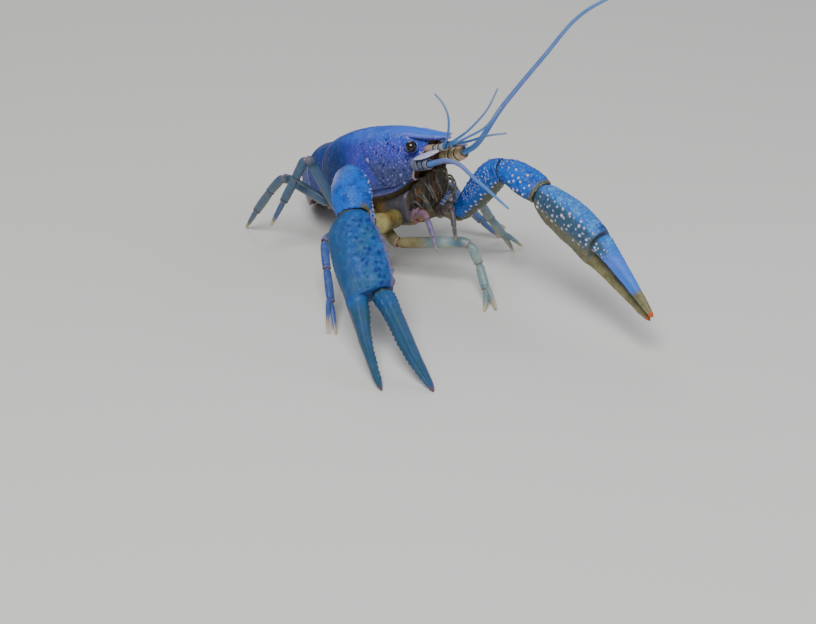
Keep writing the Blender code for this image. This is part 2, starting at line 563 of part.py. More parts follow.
def claw_frame(wrist, tip, faces, side):
    """Axes of a claw, to its inner edge, to its tip and out of its back, with the scale of its outline."""
    straight = unit(np.subtract(tip, wrist))
    back = unit(np.asarray(faces) - (np.asarray(faces) @ straight) * straight)
    inner = np.cross(straight, back) * side
    ahead = straight * math.cos(FINGER_LEAN) + inner * math.sin(FINGER_LEAN)
    inner = inner * math.cos(FINGER_LEAN) - straight * math.sin(FINGER_LEAN)
    size = np.linalg.norm(np.subtract(tip, wrist)) / CLAW_LENGTH
    return np.array((inner, ahead, back)), size


def claw_ring(y, outer, inner, thick, angles, bow, closing=0.0):
    """A ring of the claw's outline in its own axes, swung about the hinge as the finger closes, and bowed."""
    x = (outer + inner) / 2 + (inner - outer) / 2 * np.cos(angles)
    z = thick * np.sign(np.sin(angles)) * np.abs(np.sin(angles)) ** 0.9
    along_y = np.full(len(angles), y)
    swing = closing * min(max((y - HINGE_Y) / 3.0, 0.0), 1.0)
    dx = x - HINGE_X
    dy = along_y - HINGE_Y
    y = HINGE_Y + dx * math.sin(swing) + dy * math.cos(swing)
    return np.stack([HINGE_X + dx * math.cos(swing) - dy * math.sin(swing), y, z + bowed(y, bow)], axis=1)


def bowed(y, bow):
    """How far the claw bows to its back at this distance from the wrist."""
    return bow * (1 - (2 * y / CLAW_LENGTH - 1) ** 2)


def cheliped(tag, side, joints, tip, faces, carpus, bow=0.0, closing=0.0, reach=1.0):
    """One claw-bearing leg in five parts."""
    path, marks = path_through((*joints, tip), (1.2, 3.0, 5.2, 3.4), 6)
    bend = unit(np.cross(np.subtract(joints[3], joints[2]), np.subtract(joints[4], joints[3])))
    end = marks[4]
    wrist = path[end]
    axes, size = claw_frame(wrist, tip, faces, side)
    segments = {**CLAW_SEGMENTS, "carpus": carpus}
    spans = zip(segments.items(), (0, marks[2], marks[3]), (marks[2], marks[3], end))
    for (name, (count, wide, deep)), first, last in spans:
        parts = np.linspace(0, 1, count)
        trim = (0, GAP / 2) if name == "ischium" else (GAP / 2, GAP / 2)
        centres, ways = along(path, first, last, parts, trim)
        if name == "ischium":
            ways[0] = (side, 0, 0)
        if name == "carpus":
            ways[-1] = axes[1]
            centres[-1] = wrist - axes[1] * GAP / 2
        stops = np.linspace(0, 1, len(wide))
        half = eased(parts, stops, wide)
        tall = eased(parts, stops, deep)
        rings = rings_on(centres, ways, bend, half, tall, 14)
        part = mesh_object(name + "_" + tag, *lofted(rings), CLAW if name != "ischium" else UNDERSIDE)
        placed = []
        if name != "ischium":
            across = unit(bend - (ways @ bend)[:, None] * ways)
            other = np.cross(ways, across)
            for turn in (-2.1, -1.1, 1.2) if name == "merus" else (-2.6, -1.9, -1.2, -0.5, 0.6):
                for i in range(2, count - 2, 1 if name == "merus" else 2):
                    out = math.cos(turn) * across[i] + math.sin(turn) * other[i]
                    root = centres[i] + half[i] * math.cos(turn) * across[i]
                    root = root + tall[i] * math.sin(turn) * other[i]
                    placed.append((root, unit(out + 0.4 * ways[i]), 0.5, 0.6))
            combine(part, [spines(name + "_spine_forms_" + tag, placed)], "UNION")
    angles = np.linspace(0, 2 * np.pi, 16, endpoint=False)
    rings = np.stack([claw_ring(*row, angles, bow) for row in PALM]) * size @ axes + wrist
    flat = footed if tip[2] < 1 else np.array
    palm = mesh_object("propodus_" + tag, *lofted(flat(rings)), CLAW)
    placed = []
    stops, outer, inner, thick = (np.array(c) for c in zip(*PALM[:7]))
    for turn, first, count in PALM_ROWS:
        for y in first + 2.1 * np.arange(count):
            half = (eased(y, stops, inner) - eased(y, stops, outer)) / 2
            middle = (eased(y, stops, inner) + eased(y, stops, outer)) / 2
            deep = eased(y, stops, thick)
            rise = deep * math.copysign(abs(math.sin(turn)) ** 0.9, turn)
            root = np.array((middle + half * math.cos(turn), y, rise + bowed(y, bow)))
            out = unit((math.cos(turn) / half, 0.06, math.sin(turn) / deep))
            placed.append((root * size @ axes + wrist, out @ axes, 0.5, 0.6 if abs(turn) < 0.8 else 0.4))
    combine(palm, [spines("palm_spine_forms_" + tag, placed)], "UNION")
    angles = np.linspace(0, 2 * np.pi, 12, endpoint=False)
    rows = [(HINGE_Y + (row[0] - HINGE_Y) * reach, *row[1:]) for row in DACTYL]
    rings = [claw_ring(*row, angles, bow, closing) for row in rows]
    rings = np.stack(rings) * size @ axes + wrist
    if tip[2] < 1:
        drop = rings[-1, :, 2].min() + 0.12
        rings[..., 2] -= drop * np.clip((np.arange(len(rings)) - 1) / (len(rings) - 2), 0, 1)[:, None]
        rings = footed(rings)
    mesh_object("dactyl_" + tag, *lofted(rings), CLAW)


def walking_leg(name, joints):
    """A leg in two parts, and a small pincer on the front two pairs."""
    side = 1 if joints[0][0] > 0 else -1
    on_floor = joints[-1][2] < 1
    path, marks = path_through(joints, (0.9, 1.6, 2.4, 1.2, 1.2), 5)
    bend = unit(np.cross(np.subtract(joints[3], joints[2]), np.subtract(joints[5], joints[3])))
    parts = np.array((0, 0.12, 0.24, 0.34, 0.5, 0.65, 0.8, 0.91, 1.0))
    centres, ways = along(path, 0, marks[3], parts, (0, GAP / 2))
    ways[0] = (side, 0, 0)
    sizes = eased(parts, *zip(*LEG_UPPER_RADII))
    mesh_object(name + "_upper", *lofted(rings_on(centres, ways, bend, sizes * LEG_FLAT, sizes, 8)), LEG)
    parts = np.array((0, 0.08, 0.18, 0.27, 0.33, 0.45, 0.6, 0.66, 0.74, 0.87, 0.96, 1.0))
    centres, ways = along(path, marks[3], len(path) - 1, parts, (GAP / 2, 0))
    sizes = eased(parts, *zip(*LEG_LOWER_RADII))
    rings = rings_on(centres, ways, bend, sizes * LEG_FLAT, sizes, 8)
    lower = mesh_object(name + "_lower", *lofted(footed(rings) if on_floor else rings), LEG)
    if name in PINCER_LEGS:
        start = centres[6]
        way = ways[8]
        out = unit(np.cross(way, bend))
        if out[2] < 0:
            out = -out
        reach = np.linalg.norm(centres[-1] - start)
        thumb = [start - way * 0.6 + out * 0.1, start + way * 0.35 * reach + out * 1.5,
                 start + way * 0.92 * reach + out * 2.9]
        combine(lower, [tube(name + "_thumb_form", thumb, (0.42, 0.5, 0.42, 0.26), 6, LEG)], "UNION")


def somite_rings(centres, ways, side, half, tall):
    """Rings of an abdomen ring's section, square to the path."""
    right = np.array(SOMITE_SECTION)
    section = np.concatenate([right, right[-2:0:-1] * (-1, 1)])
    across = unit(side - (ways @ side)[:, None] * ways)
    up = np.cross(across, ways)
    up = up * np.sign(up[:, 2:3])
    return (centres[:, None, :] + section[None, :, :1] * half[:, None, None] * across[:, None, :]
            + section[None, :, 1:] * tall[:, None, None] * up[:, None, :])


def abdomen_path():
    """The line of the abdomen in the standing frame."""
    spot = stand(ABDOMEN_START)
    points = [spot]
    for fall, turn in zip(np.radians(ABDOMEN_FALL), np.radians(ABDOMEN_TURN)):
        way = np.array((math.sin(turn) * math.cos(fall), math.cos(turn) * math.cos(fall), math.sin(fall)))
        spot = spot + SOMITE * way
        points.append(spot)
    return np.array(points)


def abdomen():
    """Six rings, then the tail fan lying on the floor."""
    points = abdomen_path()
    path, marks = path_through(points, (2.0,) * 5, 3)
    side = unit(np.array((math.cos(math.radians(20)), -math.sin(math.radians(20)), 0.0)))
    for i in range(6):
        parts = np.array((0.0, 0.3, 0.7, 1.0))
        trim = (0, GAP / 2) if i == 0 else (GAP / 2, GAP / 2)
        centres, ways = along(path, marks[i], marks[i + 1], parts, trim)
        if i == 0:
            ways[0] = stand((0, 1, 0)) - stand((0, 0, 0))
        half = np.interp(parts, (0, 1), ABDOMEN_HALF[i:i + 2]) * (0.955, 0.985, 1.02, 1.01)
        tall = np.interp(parts, (0, 1), ABDOMEN_TALL[i:i + 2]) * (0.94, 0.98, 1.02, 1.01)
        rings = somite_rings(centres, ways, side, half, tall)
        rings[..., 2] = np.maximum(rings[..., 2], 0.3)
        ring = mesh_object("abdomen_%d" % (i + 1), *lofted(rings), TAIL)
        if i in SWIMMERET_LENGTH:
            swimmerets(ring, centres[2], ways[2], side, half[2], tall[2], SWIMMERET_LENGTH[i])
    tail_fan(path[-1], unit(path[-1] - path[-2]))


def swimmerets(ring, centre, way, side, half, tall, length):
    """A pair of small blades under an abdomen ring, swept back and down from its belly."""
    across = unit(side - (way @ side) * way)
    up = np.cross(across, way)
    up = up * np.sign(up[2])
    blades = []
    for hand in (-1, 1):
        root = centre + hand * 0.42 * half * across - (0.52 * tall - 0.5) * up
        sweep = unit(0.8 * way - 0.6 * up)
        line = np.array((root, root + sweep * length * 0.5, root + sweep * length))
        line[:, 2] = np.maximum(line[:, 2], SWIMMERET_LOW)
        blades.append(tube("swimmeret_form", line, (0.8, 1.0, 0.9, 0.45), 6, TAIL, across, 0.4))
    combine(ring, blades, "UNION")


def tail_fan(end, way):
    """Telson over inner uropods over outer ones, flat behind the sixth ring, each with a ridge along it."""
    level = unit((way[0], way[1], 0))
    left = np.array((level[1], -level[0], 0.0))
    turns = np.linspace(0, 2 * np.pi, 12, endpoint=False)
    ridge = FAN_RIDGE * np.clip(np.sin(turns), 0, 1) ** 6
    for name, (angle, shift, height, length, rise) in TAIL_FAN.items():
        spread = math.radians(angle)
        out = level * math.cos(spread) + left * math.sin(spread)
        side = left * math.cos(spread) - level * math.sin(spread)
        start = np.array((end[0], end[1], height + FAN_HALF_THICK)) + left * shift + level * 0.75
        rings = []
        for part, half in TELSON_HALF if name == "telson" else UROPOD_HALF:
            fall = max(0.0, 1.0 - part / 0.3) ** 1.6
            middle = start + out * length * part + (0, 0, rise * fall)
            thick = (FAN_HALF_THICK + 0.25 * fall) * np.sign(np.sin(turns)) * np.abs(np.sin(turns)) ** 0.6
            tall = thick + ridge * (1 - part)
            rings.append(middle + np.outer(half * np.cos(turns), side) + np.outer(tall, (0, 0, 1)))
        mesh_object(name, *lofted(rings), TAIL)


for old in list(bpy.data.objects):
    bpy.data.objects.remove(old, do_unlink=True)

OBJECT = bpy.data.collections.new("crayfish")
HELPERS = bpy.data.collections.new("helpers")
HELPERS.hide_render = True
for group in (OBJECT, HELPERS):
    bpy.context.scene.collection.children.link(group)

SHELL = material("shell", (0.035, 0.12, 0.48), 0.4)
CLAW = material("claw shell", (0.06, 0.22, 0.55), 0.45)
TAIL = material("tail shell", (0.03, 0.1, 0.4), 0.4)
LEG = material("leg shell", (0.35, 0.5, 0.6), 0.45)
UNDERSIDE = material("underside skin", (0.5, 0.42, 0.22), 0.5)
PEDUNCLE = material("feeler base shell", (0.6, 0.5, 0.28), 0.45)
SCALE = material("feeler scale shell", (0.6, 0.55, 0.65), 0.4)
FEELER = material("feeler", (0.15, 0.3, 0.6), 0.45)
FOOT = material("mouth foot shell", (0.4, 0.35, 0.45), 0.45)
EYE = material("eye", (0.01, 0.008, 0.008), 0.15)
STALK = material("eye stalk", (0.2, 0.2, 0.35), 0.4)

carapace()
head_parts()
feelers()
for letter, hand in (("R", -1), ("L", 1)):
    maxilliped(letter, hand)
cheliped("R", -1, CLAW_R, FINGER_TIP_R, PALM_FACES_R, CLAW_SEGMENTS["carpus"])
cheliped("L", 1, CLAW_L, FINGER_TIP_L, PALM_FACES_L, CARPUS_L, BOW_L, CLOSED_L, FINGER_REACH_L)
for leg_name, leg_joints in LEGS.items():
    walking_leg(leg_name, leg_joints)
abdomen()

for piece in OBJECT.objects:
    if piece.type == "MESH":
        piece.data.shade_smooth()
        piece.data.set_sharp_from_angle(angle=SMOOTH_UNDER)

root = bpy.data.objects.new("crayfish_root", None)
OBJECT.objects.link(root)
bpy.context.view_layer.update()
reach = []
graph = bpy.context.evaluated_depsgraph_get()
for piece in OBJECT.objects:
    if piece.type != "EMPTY":
        piece.parent = root
        corners = piece.evaluated_get(graph).to_mesh().vertices
        spots = np.empty(len(corners) * 3)
        corners.foreach_get("co", spots)
        spots = spots.reshape(-1, 3)
        reach.append((spots.min(axis=0), spots.max(axis=0)))
        piece.evaluated_get(graph).to_mesh_clear()
least = np.min([low for low, _ in reach], axis=0)
most = np.max([high for _, high in reach], axis=0)
root.location = (-(least[0] + most[0]) / 2, -(least[1] + most[1]) / 2, -least[2])
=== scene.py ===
"""Looks of the florida blue crayfish: fine shell, skin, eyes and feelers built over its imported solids.

Everything is shaped in millimetres in the standing frame, whose origin lies on the floor under the point
between the eyes, with x to the animal's left, y to its tail and z up, and is then moved to the row frame.
Head and thorax are shaped in the body's own frame, which is pitched nose up.
"""
import math

import bpy
import numpy as np
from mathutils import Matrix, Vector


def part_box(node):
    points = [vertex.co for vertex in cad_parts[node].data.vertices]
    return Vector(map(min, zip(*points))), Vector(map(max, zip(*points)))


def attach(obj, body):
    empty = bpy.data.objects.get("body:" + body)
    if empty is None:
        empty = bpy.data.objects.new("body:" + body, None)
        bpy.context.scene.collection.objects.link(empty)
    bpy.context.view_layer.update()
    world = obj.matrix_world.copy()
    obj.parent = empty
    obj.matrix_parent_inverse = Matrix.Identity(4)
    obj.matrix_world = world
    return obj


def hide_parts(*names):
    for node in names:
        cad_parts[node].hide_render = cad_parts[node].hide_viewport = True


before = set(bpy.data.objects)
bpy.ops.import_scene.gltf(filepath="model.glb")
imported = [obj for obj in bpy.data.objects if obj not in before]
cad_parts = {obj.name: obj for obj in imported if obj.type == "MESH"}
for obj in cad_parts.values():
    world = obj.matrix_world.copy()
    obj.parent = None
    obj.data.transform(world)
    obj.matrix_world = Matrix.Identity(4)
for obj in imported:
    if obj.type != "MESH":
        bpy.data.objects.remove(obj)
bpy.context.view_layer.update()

MM = 0.001
TURN = 2 * math.pi
# The animal's right and left side: which way x goes there, and the letter in the names.
SIDES = ((-1, "R"), (1, "L"))

# The eyes' height over the floor and the pitch of the body. The left eye and the foot of its stalk are in the
# body's frame, whose origin lies between the eyes.
EYE_HEIGHT = 36.0
NOSE_UP = math.radians(17.6)
EYE_AT = (4.7, -0.7, -0.2)
EYE_RADIUS = 1.45
STALK_ROOT = (1.9, 0.4, -1.3)

# The carapace at stations from the eyes to the tail: half width, top and lowest height.
WIDEST_Z = -7.0
FRONT = -2.5
REAR = 34.6
CARAPACE_AT = (-4.0, 0.0, 3.0, 6.0, 10.0, 14.0, 18.0, 22.0, 26.0, 30.0, 33.0, 34.6)
CARAPACE_HALF = (4.2, 5.6, 6.6, 7.4, 8.5, 9.3, 9.9, 10.2, 10.2, 9.9, 9.2, 8.4)
CARAPACE_TOP = (0.9, 2.2, 2.8, 3.3, 3.65, 3.75, 3.7, 3.5, 3.2, 2.6, 1.9, 1.3)
CARAPACE_LOW = (-8.0, -10.5, -12.6, -13.7, -14.5, -14.9, -15.0, -14.9, -14.5, -13.7, -12.6, -11.6)
# The neck groove: its station on the back, how far it sweeps forward, its depth and width, and the turn from
# the back at which it ends. The lower edge is a turn too.
GROOVE_TOP = 19.5
GROOVE_SWEEP = 15.0
GROOVE_DEEP = 0.36
GROOVE_WIDE = 0.9
GROOVE_END = 2.1
LOWER_EDGE = 2.12
# Fields of granules on both sides: rows, columns, stations from and to, turns from and to, radius, height,
# seed and how pale they are.
GRANULES = ((16, 15, -1.5, 19.0, 0.35, 2.05, 0.31, 0.14, 11, 0.3),
            (34, 30, -1.5, 19.0, 0.3, 1.9, 0.2, 0.09, 12, 0.42),
            (15, 18, 19.0, 33.6, 0.3, 2.05, 0.3, 0.08, 13, 0.05),
            (3, 4, 2.0, 10.0, 1.3, 2.0, 0.42, 0.2, 14, 0.55))
# The skins over the open ends: share of the edge's size and how far back it lies, ring by ring.
FRONT_SKIN = ((0.03, 0.2), (0.2, 0.25), (0.4, 0.35), (0.6, 0.5), (0.78, 0.7), (0.9, 0.8), (0.955, 0.65),
              (0.975, 0.35), (0.985, 0.1))
BACK_SKIN = ((0.985, -0.05), (0.97, -0.3), (0.95, -0.7), (0.9, -1.0), (0.6, -1.0), (0.3, -1.0), (0.03, -1.0))
# Sharp spines: station, turn, radius and length.
CARAPACE_SPINES = ((3.6, 0.56, 0.5, 0.9), (13.2, 1.18, 0.5, 0.95), (-1.6, 1.0, 0.42, 0.8),
                   (1.5, 1.55, 0.42, 0.65), (0.5, 2.0, 0.42, 0.6))

# How far each station of the rostrum lies ahead of the eyes.
ROSTRUM_AT = (-8.0, -4.0, 0.0, 3.5, 6.5, 7.6, 8.3, 9.4, 10.6)
ROSTRUM_HALF = (3.0, 3.2, 2.9, 2.5, 2.1, 2.05, 1.2, 0.8, 0.25)
ROSTRUM_TOP = (2.4, 2.75, 2.35, 1.95, 1.7, 1.65, 1.55, 1.4, 1.2)
ROSTRUM_DEEP = (1.8, 1.8, 1.6, 1.4, 1.2, 1.1, 0.9, 0.7, 0.45)
ROSTRUM_SPINE = ((1.85, -7.5, 1.35), (2.4, -8.8, 1.55))

# The floor of the thorax and the field of mouthparts at their stations: half width, lowest and top height.
STERNUM_HALF = 5.5
STERNUM_AT = (5.6, 10.0, 16.0, 22.0, 28.0, 32.5)
STERNUM_LOW = (-19.6, -20.3, -19.6, -18.7, -17.8, -16.8)
MOUTH_AT = (-3.6, -2.6, -1.0, 2.0, 5.3)
MOUTH_HALF = (1.6, 3.0, 3.8, 4.4, 4.6)
MOUTH_LOW = (-7.6, -9.9, -12.4, -15.4, -17.0)
MOUTH_HIGH = (-6.4, -6.4, -7.0, -8.5, -11.0)
# The small feet beside the mouth on the left, each with its thickness and its points in the body's frame.
MOUTH_FEET = ((0.32, (1.2, -2.6, -8.6), (1.7, -4.1, -9.2), (1.2, -4.5, -11.0), (0.7, -3.9, -12.6)),
              (0.36, (2.6, -1.6, -9.6), (3.3, -3.3, -10.0), (3.0, -4.1, -12.2), (2.0, -3.5, -14.2)),
              (0.4, (3.3, 0.6, -11.6), (4.1, -1.1, -12.2), (3.8, -2.3, -14.4), (2.8, -1.9, -16.4)),
              (0.3, (4.2, 1.6, -12.4), (4.5, -0.4, -12.4), (4.3, -2.0, -14.0), (4.0, -2.4, -16.0)),
              (0.26, (3.0, -1.0, -9.2), (3.9, -2.4, -9.2), (3.9, -3.8, -10.8), (3.5, -4.4, -13.0)),
              (0.4, (0.8, -3.2, -7.4), (1.3, -3.9, -7.6), (1.6, -4.2, -8.6), (0.9, -4.2, -9.6)))
# Shells of a limb are tables of radii at parts of its length, which run from where a shell starts to its end.
MOUTH_FOOT_SHELLS = (((0, 1.0), (0.2, 1.05), (0.4, 0.78)), ((0.4, 0.8), (0.56, 0.85), (0.72, 0.604)),
                     ((0.72, 0.64), (0.86, 0.69), (1.0, 0.45)))

# The feelers: their bases on the left in the body's frame, the ends of the bases, the stem of the left
# antennule, and the ways of the whips in the standing frame.
BASE_START = ((4.3, -0.5, -4.4), (4.6, -4.6, -4.3))
BASE_END = {"R": (-5.0, -7.4, -4.3), "L": (4.5, -8.6, -3.6)}
BASE_SHELLS = (((0, 1.6), (0.126, 1.75), (0.42, 1.6)), ((0.42, 1.35), (0.56, 1.5), (0.7, 1.4)),
               ((0.7, 1.2), (0.85, 1.38), (1.0, 1.12)))
STEM = ((1.5, -1.5, -1.5), (1.5, -5.5, -1.3), (1.4, -9.6, -0.9))
STEM_SHELLS = (((0, 0.9), (0.25, 0.98), (0.5, 0.9)), ((0.5, 0.8), (0.625, 0.88), (0.75, 0.85)),
               ((0.75, 0.78), (0.875, 0.92), (1.0, 0.86)))
ANTENNA = {"L": ((4.6, -9.8, 35.3), (6.2, -12.4, 38.2), (8.7, -17.1, 47.2), (11.0, -21.3, 54.1),
                 (13.7, -26.5, 62.1), (16.9, -32.5, 71.3), (20.1, -38.5, 76.8), (25.5, -47.5, 82.5),
                 (31.0, -56.5, 84.0)),
           "R": ((-5.0, -8.6, 34.1), (-4.7, -11.8, 35.9), (-4.5, -14.7, 37.0), (-4.2, -18.8, 37.2),
                 (-3.9, -23.2, 35.6), (-3.5, -28.9, 33.8), (-3.1, -35.2, 31.7))}
ANTENNULE = {"R": (((-2.4, -11.8, 41.8), (-3.3, -13.1, 46.8), (-4.7, -12.9, 50.4), (-6.6, -12.0, 53.2)),
                   ((-0.6, -13.0, 41.0), (-0.1, -17.1, 44.6), (0.7, -22.1, 50.6), (1.3, -25.1, 56.6))),
             "L": (((3.6, -12.6, 39.3), (5.7, -15.5, 40.9), (8.8, -19.8, 42.3)),
                   ((2.4, -13.3, 40.8), (4.4, -17.2, 44.1), (6.2, -20.6, 49.7)))}
WHIPS_APART = 0.84
# Half width of a feeler's scale at parts of its length.
SCALE_HALF = ((0.0, 0.6), (0.2, 1.0), (0.45, 1.3), (0.7, 1.2), (0.88, 0.8), (1.0, 0.3))
# How far the outer edge of a scale hangs below its middle, as a part of its half width.
SCALE_ROLL = 0.5

# Limb joints in the standing frame: base, hip, knee, wrist, hinge and tip.
CLAW = {"R": ((-5.8, 3.4, 16.6), (-8.2, 3.2, 16.5), (-16.8, 1.0, 17.6), (-22.2, 0.0, 35.0),
              (-28.2, -9.8, 28.2)),
        "L": ((5.8, 3.4, 16.6), (8.2, 2.4, 16.5), (8.9, -2.8, 16.2), (9.6, -17.1, 33.3), (12.1, -28.9, 29.8))}
FINGER_TIP = {"R": (-42.3, -40.1, 0.1), "L": (13.8, -65.0, 10.4)}
# Where the back of each palm faces, how far its finger closes, that finger's length, and how far the middle
# of the claw bows to its back.
PALM_FACES = {"R": (-0.44, -0.49, 0.75), "L": (0.975, -0.074, 0.22)}
CLOSING = {"R": 0.0, "L": math.radians(22.0)}
FINGER_REACH = {"R": 1.0, "L": 0.9}
BOW = {"R": 0.0, "L": 1.8}
LEGS = {"leg_2_R": ((-5.8, 8.6, 14.6), (-7.6, 8.2, 14.4), (-7.4, 1.8, 10.8), (4.0, -12.7, 13.2),
                    (4.6, -15.6, 8.2), (3.0, -20.5, 3.2), (-0.1, -23.6, 0.2)),
        "leg_3_R": ((-5.8, 13.1, 14.5), (-7.8, 13.0, 14.5), (-14.1, 10.6, 13.9), (-26.6, 4.5, 15.6),
                    (-28.9, 0.4, 11.9), (-32.0, -5.6, 6.4), (-35.0, -12.0, 0.2)),
        "leg_4_R": ((-5.8, 17.6, 13.6), (-7.8, 17.6, 13.6), (-13.1, 18.0, 15.5), (-18.8, 22.6, 29.8),
                    (-20.4, 25.2, 23.5), (-21.9, 29.2, 15.6), (-24.5, 31.1, 9.3)),
        "leg_5_R": ((-5.8, 22.0, 12.9), (-7.8, 22.0, 12.9), (-12.4, 22.4, 15.2), (-18.1, 34.2, 20.1),
                    (-18.9, 38.6, 15.4), (-19.6, 45.4, 7.0), (-19.5, 51.0, 0.2)),
        "leg_2_L": ((5.8, 8.6, 14.6), (7.4, 8.0, 14.2), (9.6, 5.4, 12.4), (14.5, -3.0, 18.0),
                    (17.5, -3.2, 13.0), (23.0, -2.6, 6.0), (27.5, -1.0, 0.2)),
        "leg_3_L": ((5.8, 13.1, 14.5), (7.8, 13.0, 14.2), (12.0, 12.0, 12.5), (16.0, 11.0, 18.0),
                    (19.5, 10.5, 12.0), (25.5, 8.0, 4.6), (29.5, 6.5, 0.2)),
        "leg_4_L": ((5.8, 17.6, 13.6), (7.8, 17.7, 13.6), (12.5, 18.5, 14.0), (20.0, 24.0, 21.0),
                    (22.5, 25.2, 15.5), (27.2, 28.0, 7.0), (31.0, 31.0, 0.2)),
        "leg_5_L": ((5.8, 22.0, 12.9), (7.8, 22.2, 12.9), (11.5, 25.0, 13.5), (17.5, 32.0, 20.0),
                    (19.2, 34.8, 15.0), (22.4, 39.0, 7.0), (24.5, 42.0, 0.2))}
PINCER_LEGS = ("leg_2_R", "leg_3_R", "leg_2_L", "leg_3_L")
# How blue each leg is, from cream-green at 0 to lavender-blue at 1, and how dark; on the hind two pairs the
# darkness is painted shade.
LEG_TINT = {"leg_2_R": (0.1, 0.0), "leg_3_R": (0.95, 0.0), "leg_4_R": (0.6, 0.6), "leg_5_R": (0.5, 0.6),
            "leg_2_L": (0.25, 0.0), "leg_3_L": (0.75, 0.0), "leg_4_L": (0.6, 0.6), "leg_5_L": (0.5, 0.6)}
# A leg is this part as wide as it is deep. Its upper shells end at the knee, where the lower ones start.
LEG_FLAT = 0.85
UPPER_SHELLS = (((0, 1.7), (0.12, 1.65), (0.26, 1.42), (0.345, 1.4)),
                ((0.345, 1.2), (0.42, 1.34), (0.6, 1.4), (0.85, 1.38), (1.0, 1.22)))
LOWER_SHELLS = (((0, 1.08), (0.1, 1.16), (0.22, 1.14), (0.3, 1.1)),
                ((0.3, 1.0), (0.38, 1.08), (0.5, 1.12), (0.6, 1.08), (0.66, 0.98)),
                ((0.66, 0.72), (0.74, 0.72), (0.85, 0.6), (0.94, 0.42), (1.0, 0.24)))
THUMB_RADII = ((0, 0.5), (0.3, 0.62), (0.6, 0.5), (0.85, 0.36), (1.0, 0.24))

# The outer mouth feet: their joints, the parts of the length where shells meet, and radii along it.
FOOT_JOINTS = (0.0, 0.3, 0.6, 0.82, 1.0)
FOOT_RADII = ((0, 1.1), (0.15, 1.2), (0.3, 1.25), (0.5, 1.1), (0.62, 0.85), (0.8, 0.68), (1.0, 0.34))
MAXILLIPED = {"R": ((-3.2, -1.4, 20.4), (-4.6, -1.6, 17.4), (-6.4, -8.5, 22.1), (-7.1, -11.7, 19.1),
                    (-8.2, -15.3, 15.2)),
              "L": ((2.8, -1.4, 20.4), (2.9, -2.0, 17.2), (1.0, -8.8, 22.0), (0.0, -11.2, 19.4),
                    (-0.8, -13.2, 15.2))}

# The ringed outer branch of the left mouth foot, which curls up beside the mouth, and its thickness.
EXOPOD = ((3.4, -1.4, 19.6), (4.7, -1.5, 21.4), (5.3, -2.9, 22.8), (4.9, -4.6, 22.2), (4.2, -5.2, 20.9))
EXOPOD_THICK = {"R": 0.42, "L": 1.3}

# Half widths across the bend and half depths in it, along the claw's three lower segments.
CLAW_SEGMENTS = {"ischium": ((2.4, 2.3, 2.5, 2.7, 2.6), (2.4, 2.3, 2.5, 2.8, 2.7)),
                 "merus": ((2.4, 2.5, 2.8, 3.0, 3.0, 2.7), (2.6, 2.9, 3.4, 3.7, 3.6, 3.0)),
                 "carpus_R": ((2.8, 3.9, 4.5, 4.6, 4.4, 3.6), (2.8, 3.8, 4.5, 4.7, 4.1, 3.0)),
                 "carpus_L": ((2.7, 3.2, 3.6, 3.8, 3.7, 3.2), (2.7, 3.0, 3.3, 3.5, 3.4, 2.8))}
# Fields of pale tubercles on the claws' arms: turns from and to, parts of the length from and to, rows,
# columns and the least and greatest radius. Turns are counted from the side to which the arm's bend turns.
TUBERCLES = {"merus_R": ((-1.0, 0.4, 0.08, 0.97, 14, 4, 0.36, 0.6), (2.7, 3.3, 0.1, 0.95, 11, 2, 0.3, 0.45)),
             "carpus_R": ((-0.35, 0.45, 0.08, 0.7, 6, 2, 0.32, 0.5),),
             "merus_L": ((3.6, 3.85, 0.15, 0.97, 12, 1, 0.34, 0.5), (1.6, 2.0, 0.1, 0.95, 9, 1, 0.3, 0.42),
                         (2.35, 3.3, 0.3, 0.92, 13, 7, 0.18, 0.3), (4.4, 4.9, 0.1, 0.95, 9, 1, 0.3, 0.4)),
             "carpus_L": ((2.0, 3.5, 0.32, 0.88, 4, 3, 0.42, 0.56), (0.9, 2.4, 0.02, 0.3, 3, 5, 0.22, 0.34))}
# The claw's outline from the wrist: distance along it, outer edge, inner edge, half thickness.
PALM = ((0.15, -4.0, 3.0, 2.8), (2.5, -6.2, 3.7, 3.3), (6.4, -7.2, 4.4, 3.8), (10.5, -7.5, 4.7, 4.1),
        (14.5, -7.4, 4.6, 4.0), (18.0, -7.2, 4.2, 3.7), (19.5, -7.1, 3.7, 3.5), (19.9, -7.1, -2.0, 3.3),
        (23.0, -7.0, -2.5, 2.8), (28.8, -6.8, -3.8, 2.1), (35.0, -6.4, -4.2, 1.4), (39.4, -5.9, -4.4, 0.8),
        (41.2, -5.3, -4.6, 0.35))
DACTYL = ((20.25, -1.3, 3.3, 3.1), (21.6, -1.0, 3.6, 2.9), (25.2, 0.0, 4.0, 2.5), (29.5, 0.7, 4.5, 2.0),
          (34.5, 1.7, 5.0, 1.5), (39.3, 3.2, 5.6, 1.0), (42.5, 4.5, 5.9, 0.6), (43.9, 5.1, 5.8, 0.35))
PALM_ROWS_BEFORE_NOTCH = 7
CLAW_LENGTH = 41.5
# The hinge about which the finger closes, and how far the claw's outline leans from the line to its tip.
HINGE_X = 1.0
HINGE_Y = 20.25
FINGER_LEAN = math.radians(6.9)

